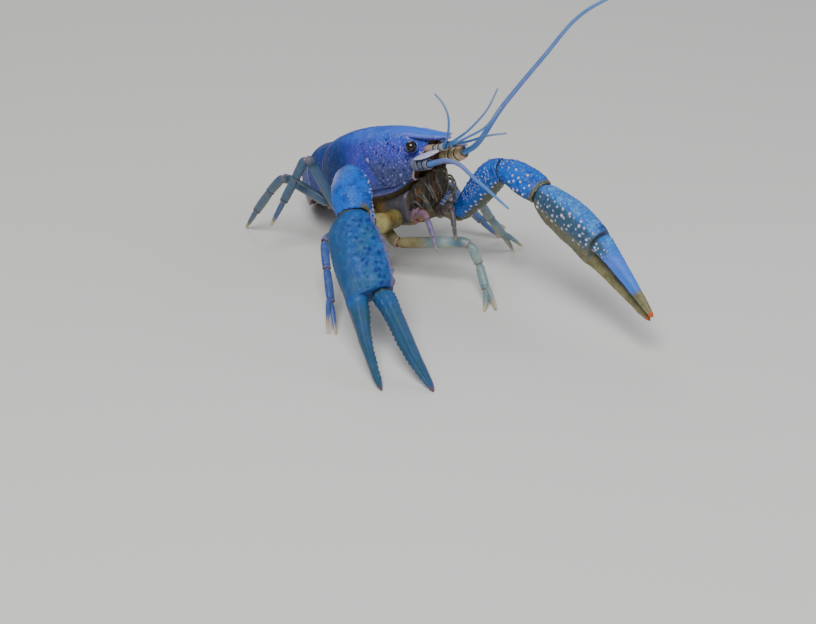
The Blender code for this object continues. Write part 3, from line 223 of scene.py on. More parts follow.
# The abdomen: where it starts in the body's frame, the length of a ring, how each ring falls and turns to the
# left in degrees, the direction across, and half width and half height at the ends of the rings.
ABDOMEN_START = (0.0, 34.9, -6.6)
SOMITE = 6.4
ABDOMEN_SIDE = (math.cos(math.radians(20)), -math.sin(math.radians(20)), 0.0)
ABDOMEN_FALL = (-27.0, -35.0, -35.0, -28.0, -18.0, -9.0)
ABDOMEN_TURN = (8.0, 20.0, 32.0, 43.0, 52.0, 59.0)
ABDOMEN_HALF = (7.9, 8.5, 8.4, 8.0, 7.4, 6.7, 5.6)
ABDOMEN_TALL = (7.2, 7.2, 6.9, 6.3, 5.5, 4.6, 3.4)
SWIMMERET_LENGTH = {1: 4.6, 2: 4.6, 3: 4.2, 4: 3.0}
SWIMMERET_LOW = 0.9
# How a ring swells from where it lies under the one before it to its rear edge, and the right half of its
# section from the top, as parts of its half width and height.
SOMITE_LAP = ((-0.16, 0.84), (0.0, 0.9), (0.15, 0.95), (0.4, 0.985), (0.8, 1.015), (1.0, 1.03), (1.06, 1.02),
              (1.1, 0.94))
SOMITE_SECTION = ((0.0, 1.0), (0.38, 0.93), (0.71, 0.71), (0.93, 0.36), (1.0, -0.05), (0.98, -0.5),
                  (0.9, -0.86), (0.72, -0.6), (0.4, -0.52), (0.0, -0.52))
# Half the thickness of the tail fan's plates and the height of their middle ridge.
FAN_HALF_THICK = 0.3
FAN_RIDGE = 0.25
# Each plate's angle to the left in degrees, distance to the left, height over the floor, length and how much
# higher its root lies. Half widths are given at parts of the length.
TAIL_FAN = {"telson": (0.0, 0.0, 1.85, 13.0, 2.0), "uropod_inner_L": (22.0, 3.9, 0.9, 12.8, 1.0),
            "uropod_outer_L": (48.0, 5.5, 0.0, 13.6, 0.9), "uropod_inner_R": (-22.0, -3.9, 0.9, 12.8, 1.0),
            "uropod_outer_R": (-48.0, -5.5, 0.0, 13.6, 0.9)}
TELSON_HALF = ((0, 2.6), (0.12, 3.3), (0.45, 3.9), (0.6, 3.6), (0.64, 3.35), (0.85, 3.3), (0.95, 2.6),
               (1.0, 1.3))
UROPOD_HALF = ((0, 0.6), (0.1, 1.1), (0.3, 2.4), (0.6, 3.3), (0.8, 3.2), (0.93, 2.4), (1.0, 1.0))


def unit(v):
    """The vector or the rows of vectors, each one long."""
    v = np.asarray(v, float)
    return v / (np.linalg.norm(v, axis=-1, keepdims=True) + 1e-12)


def stand(points):
    """Points of the body's frame in the standing frame: turned nose up and lifted to the eyes' height."""
    x, y, z = np.moveaxis(np.asarray(points, float), -1, 0)
    c = math.cos(NOSE_UP)
    s = math.sin(NOSE_UP)
    return np.stack([x, y * c + z * s, -y * s + z * c + EYE_HEIGHT], axis=-1)


# From the standing frame to the row frame: how far the middle of the eyes lies from where it is shaped.
EYES_MIDDLE = np.mean([np.mean(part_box("eye_" + tag), axis=0) for _, tag in SIDES], axis=0) / MM
SHIFT = EYES_MIDDLE - stand((0.0, *EYE_AT[1:]))


def step(low, high, x):
    """Rises smoothly from 0 at low to 1 at high: 3t^2 - 2t^3."""
    t = np.clip((np.asarray(x, float) - low) / (high - low), 0, 1)
    return t * t * (3 - 2 * t)


def bell(x, wide):
    """A bell curve, 1 at nought and 0.37 at this distance."""
    return np.exp(-(np.asarray(x, float) / wide) ** 2)


def squared(wave, power):
    """A sine or cosine with its size raised to a power and its sign kept: below 1 it squares a ring off."""
    return np.sign(wave) * np.abs(wave) ** power


def spaced(stops, counts):
    """Numbers from the first stop to the last, each stretch between two stops cut evenly by its count."""
    spans = zip(stops, stops[1:], counts)
    return np.concatenate([stops[:1], *(np.linspace(low, high, count)[1:] for low, high, count in spans)])


def eased(at, stops, values):
    """A smooth curve through these values: cubic pieces whose slopes are those between the neighbours."""
    stops = np.asarray(stops, float)
    values = np.asarray(values, float)
    slopes = np.gradient(values, stops)
    at = np.clip(at, stops[0], stops[-1])
    i = np.clip(np.searchsorted(stops, at) - 1, 0, len(stops) - 2)
    wide = stops[i + 1] - stops[i]
    t = (at - stops[i]) / wide
    lift = t * t * (3 - 2 * t)
    return (values[i] * (1 - lift) + values[i + 1] * lift + wide * slopes[i] * t * (1 - t) ** 2
            - wide * slopes[i + 1] * t * t * (1 - t))


def path_through(joints, bends, fine=6):
    """A dense path whose inner corners are arcs, and the number of the point in the middle of each corner."""
    joints = np.asarray(joints, float)
    points = [joints[0]]
    marks = [0]
    for a, b, c, reach in zip(joints, joints[1:], joints[2:], bends):
        u = unit(b - a)
        v = unit(c - b)
        turn = math.acos(np.clip(u @ v, -1, 1))
        if turn < 0.03:
            points.append(b)
            marks.append(len(points) - 1)
            continue
        radius = reach / math.tan(turn / 2)
        inward = unit(v - (v @ u) * u)
        centre = b - reach * u + radius * inward
        for angle in np.linspace(0, turn, 2 * fine + 1):
            points.append(centre - radius * inward * math.cos(angle) + radius * u * math.sin(angle))
        marks.append(len(points) - 1 - fine)
    points.append(joints[-1])
    marks.append(len(points) - 1)
    return np.array(points), marks


def lengths(path):
    """How far along it each point of a path lies."""
    return np.concatenate([[0], np.cumsum(np.linalg.norm(np.diff(path, axis=0), axis=1))])


def walk(path, at, look=0.35):
    """Points and directions at these distances along a path."""
    length = lengths(path)
    centres, ahead, behind = (np.stack([np.interp(d, length, line) for line in path.T], axis=1)
                              for d in (at, at + look, at - look))
    return centres, unit(ahead - behind)


def smooth_path(points, per_span):
    """A smooth curve through these points, each coordinate eased between them."""
    points = np.asarray(points, float)
    spans = len(points) - 1
    fine = np.linspace(0, spans, per_span * spans + 1)
    return np.stack([eased(fine, np.arange(spans + 1), line) for line in points.T], axis=1)


def axes_on(ways, side):
    """Two directions square to each way, the first as near to side as can be."""
    across = unit(side - (ways @ side)[:, None] * ways)
    return across, np.cross(ways, across)


def ovals(centres, ways, side, half, deep, turns):
    """Rings square to a path: centre + half cos(turn) across + deep sin(turn) the other way."""
    across, other = axes_on(ways, np.asarray(side, float))
    half = np.asarray(half, float)
    deep = np.asarray(deep, float)
    half = half[:, None] if half.ndim == 1 else half
    deep = deep[:, None] if deep.ndim == 1 else deep
    return (centres[:, None, :] + (half * np.cos(turns))[..., None] * across[:, None, :]
            + (deep * np.sin(turns))[..., None] * other[:, None, :])


def around(count):
    """Even turns round a ring."""
    return np.linspace(0, TURN, count, endpoint=False)


def skin_normals(rings):
    """Outward directions of a grid of rings: the cross product of the steps along it and round it."""
    ahead = np.gradient(rings, axis=0)
    sideways = np.roll(rings, -1, axis=1) - np.roll(rings, 1, axis=1)
    normal = unit(np.cross(ahead, sideways))
    out = (normal * (rings - rings.mean(axis=1, keepdims=True))).sum()
    return normal * np.sign(out)


def raised(rings, height):
    """The grid moved outwards by these heights in millimetres."""
    return rings + skin_normals(rings) * np.asarray(height)[..., None]


def signed(turns):
    """Turns counted from minus half a turn to half a turn."""
    return (np.asarray(turns, float) + math.pi) % TURN - math.pi


def grid_of(x, y, z):
    """A grid of points from its three coordinates, each spread over the whole grid."""
    return np.stack(np.broadcast_arrays(x, y, z), axis=-1)


def block(s, half, low, high, turns, across, tall):
    """Rings round the body at stations s: half sin(turn) wide and from low to high, squared by two powers."""
    return grid_of(half * squared(np.sin(turns), across), s,
                   (low + high) / 2 + (high - low) / 2 * squared(np.cos(turns), tall))


def grid_spots(rings, rows, turns):
    """Points of a grid at these fractional rows and shares of a turn, and the directions along it there."""
    rows, turns = np.broadcast_arrays(np.asarray(rows, float), turns)
    count = rings.shape[1]
    place = (turns % 1.0) * count
    j = place.astype(int) % count
    k = (j + 1) % count
    g = (place - np.floor(place))[:, None]

    def at(rows):
        rows = np.clip(rows, 0, len(rings) - 1.001)
        i = rows.astype(int)
        f = (rows - i)[:, None]
        return ((rings[i, j] * (1 - g) + rings[i, k] * g) * (1 - f)
                + (rings[i + 1, j] * (1 - g) + rings[i + 1, k] * g) * f)
    return at(rows), unit(at(rows + 1) - at(rows - 1))


def domes(rings, centres, radius, height, ways=None, lean=1.0):
    """Height of rounded domes over a grid: height (1 - (d / radius)^2)^2, the highest where they meet.

    With ways, a dome is drawn out behind its centre by lean and cut short before it, as a scale is.
    """
    flat = rings.reshape(-1, 3)
    centres = np.asarray(centres, float).reshape(-1, 3)
    radius = np.broadcast_to(np.asarray(radius, float), len(centres))
    height = np.broadcast_to(np.asarray(height, float), len(centres))
    total = np.zeros(len(flat))
    for start in range(0, len(centres), 40):
        part = slice(start, start + 40)
        c = centres[part]
        off = (flat ** 2).sum(1)[:, None] - 2 * flat @ c.T + (c ** 2).sum(1)
        if ways is not None:
            w = ways[part]
            ahead = flat @ w.T - (c * w).sum(1)
            reach = np.where(ahead < 0, lean, 0.7)
            off = off - ahead ** 2 + (ahead / reach) ** 2
        rise = height[part] * np.clip(1 - off / radius[part] ** 2, 0, 1) ** 2
        total = np.maximum(total, rise.max(axis=1))
    return total.reshape(rings.shape[:2])


def bumps(rings, at, turns, radius, height=1.0, lean=None, y=None):
    """Domes, or scales with a lean, at turns and rows of a grid, or at distances on its own scale y."""
    rows = at if y is None else np.interp(at, y[:, 0], np.arange(len(y)))
    centres, ways = grid_spots(rings, rows, np.asarray(turns) / TURN)
    return domes(rings, centres, radius, height, None if lean is None else ways, lean)


def strewn(rows, columns, jitter, seed, along=(0.0, 1.0), round_it=(0.0, TURN)):
    """Staggered rows and columns over a stretch and a range of turns, each moved a little at random."""
    draw = np.random.default_rng(seed)
    i, j = np.meshgrid(np.arange(rows), np.arange(columns), indexing="ij")
    u = (i + 0.5 + jitter * draw.uniform(-0.5, 0.5, i.shape)) / rows
    v = (j + 0.25 + 0.5 * (i % 2) + jitter * draw.uniform(-0.5, 0.5, i.shape)) / columns
    return (low + (high - low) * part.ravel() for (low, high), part in ((along, u), (round_it, v)))


def uneven(seed, least, most, count):
    """So many random sizes between the least and the most."""
    return np.random.default_rng(seed).uniform(least, most, count)


def waves(points, size, seed):
    """Slow unevenness between -1 and 1: a mean of six sine waves in random directions."""
    draw = np.random.default_rng(seed)
    ways = unit(draw.normal(size=(6, 3))) * (2 * np.pi / size)
    return np.sin(points @ ways.T + draw.uniform(0, 6.28, 6)).mean(axis=-1)


def skinned(rings):
    """Points, triangles and quads of a grid of rings, closed at both ends by a pole and faced outwards."""
    rows, count = rings.shape[:2]
    points = np.concatenate([rings[0].mean(0)[None], rings.reshape(-1, 3), rings[-1].mean(0)[None]])
    i, j = np.meshgrid(np.arange(rows - 1), np.arange(count), indexing="ij")
    a = 1 + i * count + j
    b = 1 + i * count + (j + 1) % count
    quads = np.stack([a, b, b + count, a + count], axis=-1).reshape(-1, 4)
    j = np.arange(count)
    k = (j + 1) % count
    last = 1 + (rows - 1) * count
    triangles = np.concatenate([np.stack([0 * j, 1 + k, 1 + j], axis=-1),
                                np.stack([0 * j + len(points) - 1, last + j, last + k], axis=-1)])
    split = np.concatenate([triangles, quads[:, :3], quads[:, (0, 2, 3)]])
    corner = points - points.mean(0)
    volume = np.einsum("ij,ij->", corner[split[:, 0]], np.cross(corner[split[:, 1]], corner[split[:, 2]]))
    if volume < 0:
        triangles = triangles[:, ::-1]
        quads = quads[:, ::-1]
    return points, triangles, quads


def linked(name, data):
    """An object with this data, in the scene."""
    made = bpy.data.objects.new(name, data)
    bpy.context.scene.collection.objects.link(made)
    return made


def put(name, grids, look, node):
    """One piece of closed grids with their zones, which stands for a CAD node and rides on the one body."""
    spots = []
    corners = []
    sizes = []
    zones = {key: [] for _, zone in grids for key in zone}
    base = 0
    for rings, zone in grids:
        points, triangles, quads = skinned(rings)
        spots.append(points)
        corners += [(triangles + base).ravel(), (quads + base).ravel()]
        sizes += [np.full(len(triangles), 3), np.full(len(quads), 4)]
        base += len(points)
        for key, parts in zones.items():
            value = np.broadcast_to(zone.get(key, 0.0), rings.shape[:2])
            parts += [value[:1].mean(keepdims=True).ravel(), value.ravel(),
                      value[-1:].mean(keepdims=True).ravel()]
    spots = (np.concatenate(spots) + SHIFT) * MM
    corners = np.concatenate(corners)
    sizes = np.concatenate(sizes)
    data = bpy.data.meshes.new(name)
    data.vertices.add(len(spots))
    data.vertices.foreach_set("co", spots.ravel())
    data.loops.add(len(corners))
    data.polygons.add(len(sizes))
    data.polygons.foreach_set("loop_start", np.concatenate([[0], np.cumsum(sizes)[:-1]]))
    data.polygons.foreach_set("vertices", corners)
    data.update(calc_edges=True)
    data.validate()
    data.shade_smooth()
    for key, parts in zones.items():
        layer = data.attributes.new(key, "FLOAT", "POINT")
        layer.data.foreach_set("value", np.concatenate(parts).astype(np.float32))
    data.materials.append(look)
    made = linked(name, data)
    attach(made, "root")
    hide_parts(node)


def thorn(root, way, radius, height, lean=(0.0, 0.0, 0.0), count=10):
    """A sharp spine: its radius falls as (1 - t)^1.2 with a flared foot, and its line bows by lean t^2."""
    t = np.linspace(-0.35, 1, 10)
    way = unit(way)
    centres = np.asarray(root) + t[:, None] * height * way + np.clip(t, 0, 1)[:, None] ** 2 * np.asarray(lean)
    size = radius * (np.clip(1 - t, 0, 1) ** 1.2 + 0.25 * np.clip(-t, 0, 1)) + 0.02
    return ovals(centres, np.tile(way, (len(t), 1)), (0.31, 0.52, 0.79), size, size, around(count))


def linear(colour):
    """An sRGB hex colour as linear RGBA."""
    parts = np.array([int(colour[i:i + 2], 16) / 255 for i in (1, 3, 5)])
    parts = np.where(parts <= 0.04045, parts / 12.92, ((parts + 0.055) / 1.055) ** 2.4)
    return (*parts, 1.0)


def add(tree, kind, inputs, **settings):
    """Adds a node with its settings, and sets each input to a value or links it to an output."""
    made = tree.nodes.new(kind)
    for key, value in settings.items():
        setattr(made, key, value)
    for socket, value in inputs.items():
        if isinstance(value, bpy.types.NodeSocket):
            tree.links.new(value, made.inputs[socket])
        else:
            made.inputs[socket].default_value = value
    return made


def per(size):
    """The scale that gives a pattern of this size in millimetres on Object coordinates in metres."""
    return 1.0 / (size * MM)


def share(tree, place, zone, size=None, low=0.0, high=1.0, most=1.0, kind="noise"):
    """How much a layer covers: a pattern of this size read from low to high, times a zone of the piece."""
    found = None
    if size:
        at = {"Vector": place, "Scale": per(size)}
        if kind == "noise":
            found = add(tree, "ShaderNodeTexNoise", {**at, "Detail": 4.0}).outputs["Fac"]
        else:
            feature = {"cells": "F1", "net": "DISTANCE_TO_EDGE"}[kind]
            found = add(tree, "ShaderNodeTexVoronoi", at, feature=feature).outputs["Distance"]
        found = add(tree, "ShaderNodeMapRange",
                    {"Value": found, "From Min": low, "From Max": high, "To Max": most},
                    interpolation_type="SMOOTHSTEP").outputs["Result"]
    if zone:
        painted = add(tree, "ShaderNodeAttribute", {}, attribute_name=zone).outputs["Fac"]
        found = painted if found is None else add(tree, "ShaderNodeMath", {0: found, 1: painted},
                                                  operation="MULTIPLY").outputs["Value"]
    return found


def shell(name, ground, layers, rough=0.38, grain=0.3, relief=0.35, coat=0.15, soft=0.0, shine=0.28):
    """A layered finish on Object coordinates: a ground colour with patches, specks and painted zones on it.

    A layer is (zone, colour), or (zone, colour, size in mm, low, high, most) for a noise on it, with the kind
    of pattern last where it is another one. Fine grain drives roughness and bump.
    """
    made = bpy.data.materials.new(name)
    made.use_nodes = True
    tree = made.node_tree
    tree.nodes.clear()
    place = add(tree, "ShaderNodeTexCoord", {}).outputs["Object"]
    colour = add(tree, "ShaderNodeRGB", {}).outputs[0]
    colour.default_value = linear(ground)
    for zone, hexed, *pattern in layers:
        cover = share(tree, place, zone, *pattern)
        colour = add(tree, "ShaderNodeMix", {0: cover, 6: colour, 7: linear(hexed)},
                     data_type="RGBA").outputs[2]
    fine = add(tree, "ShaderNodeTexNoise",
               {"Vector": place, "Scale": per(grain), "Detail": 3.0}).outputs["Fac"]
    pits = add(tree, "ShaderNodeTexVoronoi", {"Vector": place, "Scale": per(grain * 2.2)}).outputs["Distance"]
    height = add(tree, "ShaderNodeMath", {0: fine, 1: pits}, operation="ADD").outputs["Value"]
    bump = add(tree, "ShaderNodeBump", {"Height": height, "Strength": relief, "Distance": 0.06 * MM})
    gloss = add(tree, "ShaderNodeMapRange", {"Value": fine, "From Min": 0.3, "From Max": 0.7,
                                             "To Min": rough - 0.07, "To Max": rough + 0.1})
    surface = add(tree, "ShaderNodeBsdfPrincipled", {
        "Base Color": colour, "Roughness": gloss.outputs["Result"], "Normal": bump.outputs["Normal"],
        "Specular IOR Level": shine, "Coat Weight": coat, "Coat Roughness": 0.25, "Subsurface Weight": soft,
        "Subsurface Scale": 0.8 * MM, "Subsurface Radius": (1.0, 0.8, 0.6)})
    add(tree, "ShaderNodeOutputMaterial", {"Surface": surface.outputs["BSDF"]})
    return made


# Calcified chitin of the back: a smooth hard shell, bright blue along the back and violet on the sides, whose
# pale granules and dark pores give it a fine sparkle before the neck groove. Behind the groove it darkens to
# navy, partly its own colour and partly painted shade.
CARAPACE_CHITIN = shell("calcified chitin, carapace", "#2560e0", (
    (None, "#3f7df4", 5.0, 0.42, 0.62, 0.6), (None, "#1a48bc", 2.2, 0.52, 0.66, 0.4), ("bright", "#3478fa"),
    ("side", "#3a4abc"), ("side", "#5a55c2", 3.2, 0.45, 0.65, 0.8),
    ("side", "#2236a0", 1.6, 0.5, 0.62, 0.55), ("rear", "#14336e"),
    ("rear", "#1f4a8e", 2.6, 0.45, 0.65, 0.6), ("cheek", "#454f84"),
    ("cheek", "#38496a", 2.4, 0.45, 0.62, 0.75), ("cheek", "#6a6a9c", 1.1, 0.54, 0.66, 0.5),
    ("speck", "#14236c", 1.7, 0.34, 0.2, 0.8, "cells"), ("speck", "#9c92e6", 0.9, 0.3, 0.12, 0.75, "cells"),
    ("dark", "#12245e"), ("belly", "#6e6340"), ("belly", "#413a26", 2.0, 0.45, 0.65, 0.7),
    ("knob", "#c3b9e4"), ("edge", "#d0b3ae"), ("face", "#5c4438"),
    ("face", "#8a4f28", 1.8, 0.45, 0.62, 0.8)), rough=0.48, coat=0.04, shine=0.16)

# The same chitin on the upper side of the claws: matt steel blue between low scales, each with a dark front
# that is painted shadow under the scale.
CLAW_CHITIN = shell("calcified chitin, claw", "#22589e", (
    (None, "#1a4788", 4.0, 0.42, 0.62, 0.6), (None, "#3674bc", 1.4, 0.48, 0.64, 0.5),
    (None, "#2f6684", 7.0, 0.5, 0.66, 0.5), ("finger", "#30566c"),
    ("finger", "#385a90", 3.0, 0.45, 0.65, 0.6), ("finger", "#3f646e", 1.6, 0.5, 0.64, 0.5),
    ("bright", "#1668d6"), ("bright", "#0c44a2", 2.4, 0.48, 0.6, 0.85),
    ("bright", "#3f92ea", 1.2, 0.54, 0.66, 0.5), ("pale", "#3a8ae2"),
    ("pale", "#5cb0f0", 2.6, 0.46, 0.64, 0.7), ("pale", "#1c4aa6", 1.3, 0.14, 0.03, 0.5, "net"),
    ("belly", "#4a5f54"), ("belly", "#2c5c78", 2.2, 0.42, 0.6, 0.8), ("violet", "#4c84f2"),
    ("violet", "#6a78ee", 3.4, 0.48, 0.62, 0.5), ("olive", "#878158"),
    ("olive", "#646044", 1.6, 0.45, 0.62, 0.6), ("dark", "#12357e"), ("skin", "#5f6248"),
    ("knob", "#e2d6f0"), ("edge", "#a28490"), ("joint", "#50523a"),
    ("tip", "#d0552a")), rough=0.52, relief=0.4, coat=0.03, shine=0.22)

# Thinner chitin of the walking legs, a little waxy: green cream to lavender blue, with warm joints and
# pale horny tips.
LEG_CHITIN = shell("thin chitin, walking leg", "#7e9a98", (
    (None, "#a9af98", 3.0, 0.4, 0.62, 0.65), (None, "#638a9a", 1.3, 0.5, 0.64, 0.5), ("blue", "#3558a0"),
    ("blue", "#5872b4", 2.0, 0.45, 0.65, 0.7), ("belly", "#a7a482"), ("olive", "#82754a"),
    ("olive", "#5f5836", 1.8, 0.45, 0.62, 0.6), ("dark", "#27485e"), ("joint", "#a07a66"),
    ("tip", "#cfb87a")), rough=0.37, coat=0.25, soft=0.1)

# Leathery skin and soft shell of the underside: cream, yellow and olive, wrinkled at the joints.
UNDERSIDE_SKIN = shell("soft chitin, underside", "#71663a", (
    (None, "#9c8d50", 3.5, 0.42, 0.62, 0.7), (None, "#484024", 1.8, 0.46, 0.6, 0.7),
    (None, "#a8793f", 5.0, 0.54, 0.66, 0.5), ("violet", "#4c5064"),
    ("violet", "#54484a", 1.6, 0.46, 0.62, 0.7), ("pale", "#c2b878"),
    ("pale", "#93894f", 1.4, 0.46, 0.62, 0.6), ("dark", "#2e2817"), ("joint", "#6d6b50"),
    ("knob", "#c6b87c")), rough=0.42, coat=0.1, soft=0.12)

# Chitin and skin round the mouth: dark olive and rust with pale fold lines.
MOUTH_SKIN = shell("soft chitin, mouth", "#3b352a", (
    (None, "#4a3e2e", 2.0, 0.42, 0.6, 0.75), (None, "#2e3632", 1.2, 0.5, 0.62, 0.7), ("edge", "#8a8474"),
    ("warm", "#8a5626")), rough=0.42, coat=0.1, soft=0.08)

# The mouth feet: lavender outside and orange inside, waxy.
FOOT_CHITIN = shell("thin chitin, mouth foot", "#6f6799", (
    (None, "#8a80b0", 1.6, 0.42, 0.62, 0.6), ("warm", "#a8683a"), ("blue", "#3d66b4"), ("pale", "#b9bfe8"),
    ("olive", "#47493d"), ("olive", "#625c46", 1.4, 0.46, 0.62, 0.7), ("joint", "#6c5244"),
    ("tip", "#a99a7c")), rough=0.38, coat=0.2, soft=0.1)

# Cream chitin of the feelers' bases with olive blotches and an orange-pink end.
PEDUNCLE_CHITIN = shell("thin chitin, feeler base", "#ddd0a0", (
    (None, "#aaa480", 1.6, 0.46, 0.62, 0.45), (None, "#ece2b8", 0.9, 0.5, 0.62, 0.5), ("violet", "#72799e"),
    ("violet", "#4e6a70", 1.3, 0.46, 0.62, 0.7), ("dark", "#3d3a2a"), ("warm", "#c07060"),
    ("blue", "#5a86b4")), rough=0.37, coat=0.2, soft=0.1)

# The thin blade over each feeler, nearly white with a pink and blue cast, and a band of blue painted shade.
SCALE_CHITIN = shell("thin chitin, feeler scale", "#ccd0f4", (
    (None, "#e6cfe4", 2.0, 0.45, 0.65, 0.7), ("dark", "#7d8cc4"),
    ("edge", "#f0e4ee")), rough=0.35, coat=0.2, soft=0.15)

# Ringed whips: flexible chitin, pale blue on the ringlets and darker in the joints between them.
WHIP_CHITIN = shell("flexible chitin, feeler whip", "#4a86d2", (
    (None, "#6d9cd2", 6.0, 0.4, 0.62, 0.6), ("pale", "#93aec2"), ("violet", "#9d86c6"),
    ("dark", "#264a86")), rough=0.35, grain=0.2, relief=0.15, coat=0.2, soft=0.08)

# Abdomen and tail fan: smooth calcified chitin, deep blue with paler bands and orange-cream hems.
TAIL_CHITIN = shell("calcified chitin, tail", "#183d86", (
    (None, "#24549e", 4.0, 0.42, 0.62, 0.65), (None, "#122c66", 1.8, 0.48, 0.62, 0.55), ("side", "#333f8a"),
    ("dark", "#12265c"), ("speck", "#8298de", 1.1, 0.26, 0.12, 0.6, "cells"), ("belly", "#8a8468"),
    ("edge", "#b08462")), rough=0.42, coat=0.12)

# The eye's cornea: black with a brown glow, wet and smooth over a net of minute facets. The real facets are
# about 0.05 mm and too fine to show, so they are drawn at 0.16 mm.
EYE_GLASS = shell("cornea", "#120c0c", (
    (None, "#4a2412", 1.5, 0.46, 0.62, 0.8), (None, "#050405", 0.16, 0.1, 0.0, 0.5, "net"),
    ("pale", "#5f7fb4")), rough=0.12, grain=0.16, relief=0.2, coat=0.8, shine=0.5)

# Skin of the eye stalks: thin and smooth, pale blue with a dark foot.
STALK_CHITIN = shell("thin chitin, eye stalk", "#5c78ba", (
    (None, "#8ea6d8", 0.9, 0.42, 0.62, 0.7), ("dark", "#3a2a34")), rough=0.35, coat=0.2)

# Horny bristles, stiff and amber to brown.
BRISTLE_HORN = shell("horny bristle", "#a08a66", (
    (None, "#6f5f48", 1.5, 0.42, 0.62, 0.7),), rough=0.45)


def groove_at(turn):
    """How far back the neck groove lies at this turn from the back: a cosine sweeps it forward."""
    return GROOVE_TOP - GROOVE_SWEEP * (1 - np.cos(0.75 * np.minimum(np.abs(turn), GROOVE_END)))


def carapace_point(s, turn, groove=GROOVE_DEEP):
    """A point of the carapace: a superellipse round station s, pinched at the snout and leaning back."""
    s = np.asarray(s, float)
    turn = signed(turn)
    fade = np.clip((GROOVE_END - np.abs(turn)) / 0.3, 0, 1)
    off = s - groove_at(turn)
    swell = -groove * fade * (bell(off, GROOVE_WIDE) * 0.75 + bell(off, 0.3) * 0.25)
    half = eased(s, CARAPACE_AT, CARAPACE_HALF) + swell
    top = eased(s, CARAPACE_AT, CARAPACE_TOP) + swell
    low = eased(s, CARAPACE_AT, CARAPACE_LOW) - swell
    up = np.cos(turn)
    power = np.where(up > 0, 2 / 2.1, 2 / 2.5)
    x = half * squared(np.sin(turn), power)
    z = WIDEST_Z + squared(up, power) * np.where(up > 0, top - WIDEST_Z, WIDEST_Z - low)
    pinch = 0.42 * np.clip((6.0 - s) / 6.0, 0, 1) * np.clip((z + 5.0) / 4.0, 0, 1)
    lean = 0.5 * np.clip((13.0 - s) / 13.0, 0, 1)
    return grid_of(x * (1 - pinch), s + lean * (-z - 2.0), z)


def closing(edge, shares, depths):
    """Rings that close an open end: the edge made smaller by a share and set back along the body."""
    hole = edge.mean(0)
    return hole + (edge - hole) * np.reshape(shares, (-1, 1, 1)) + np.reshape(depths, (-1, 1, 1)) * (0, 1, 0)


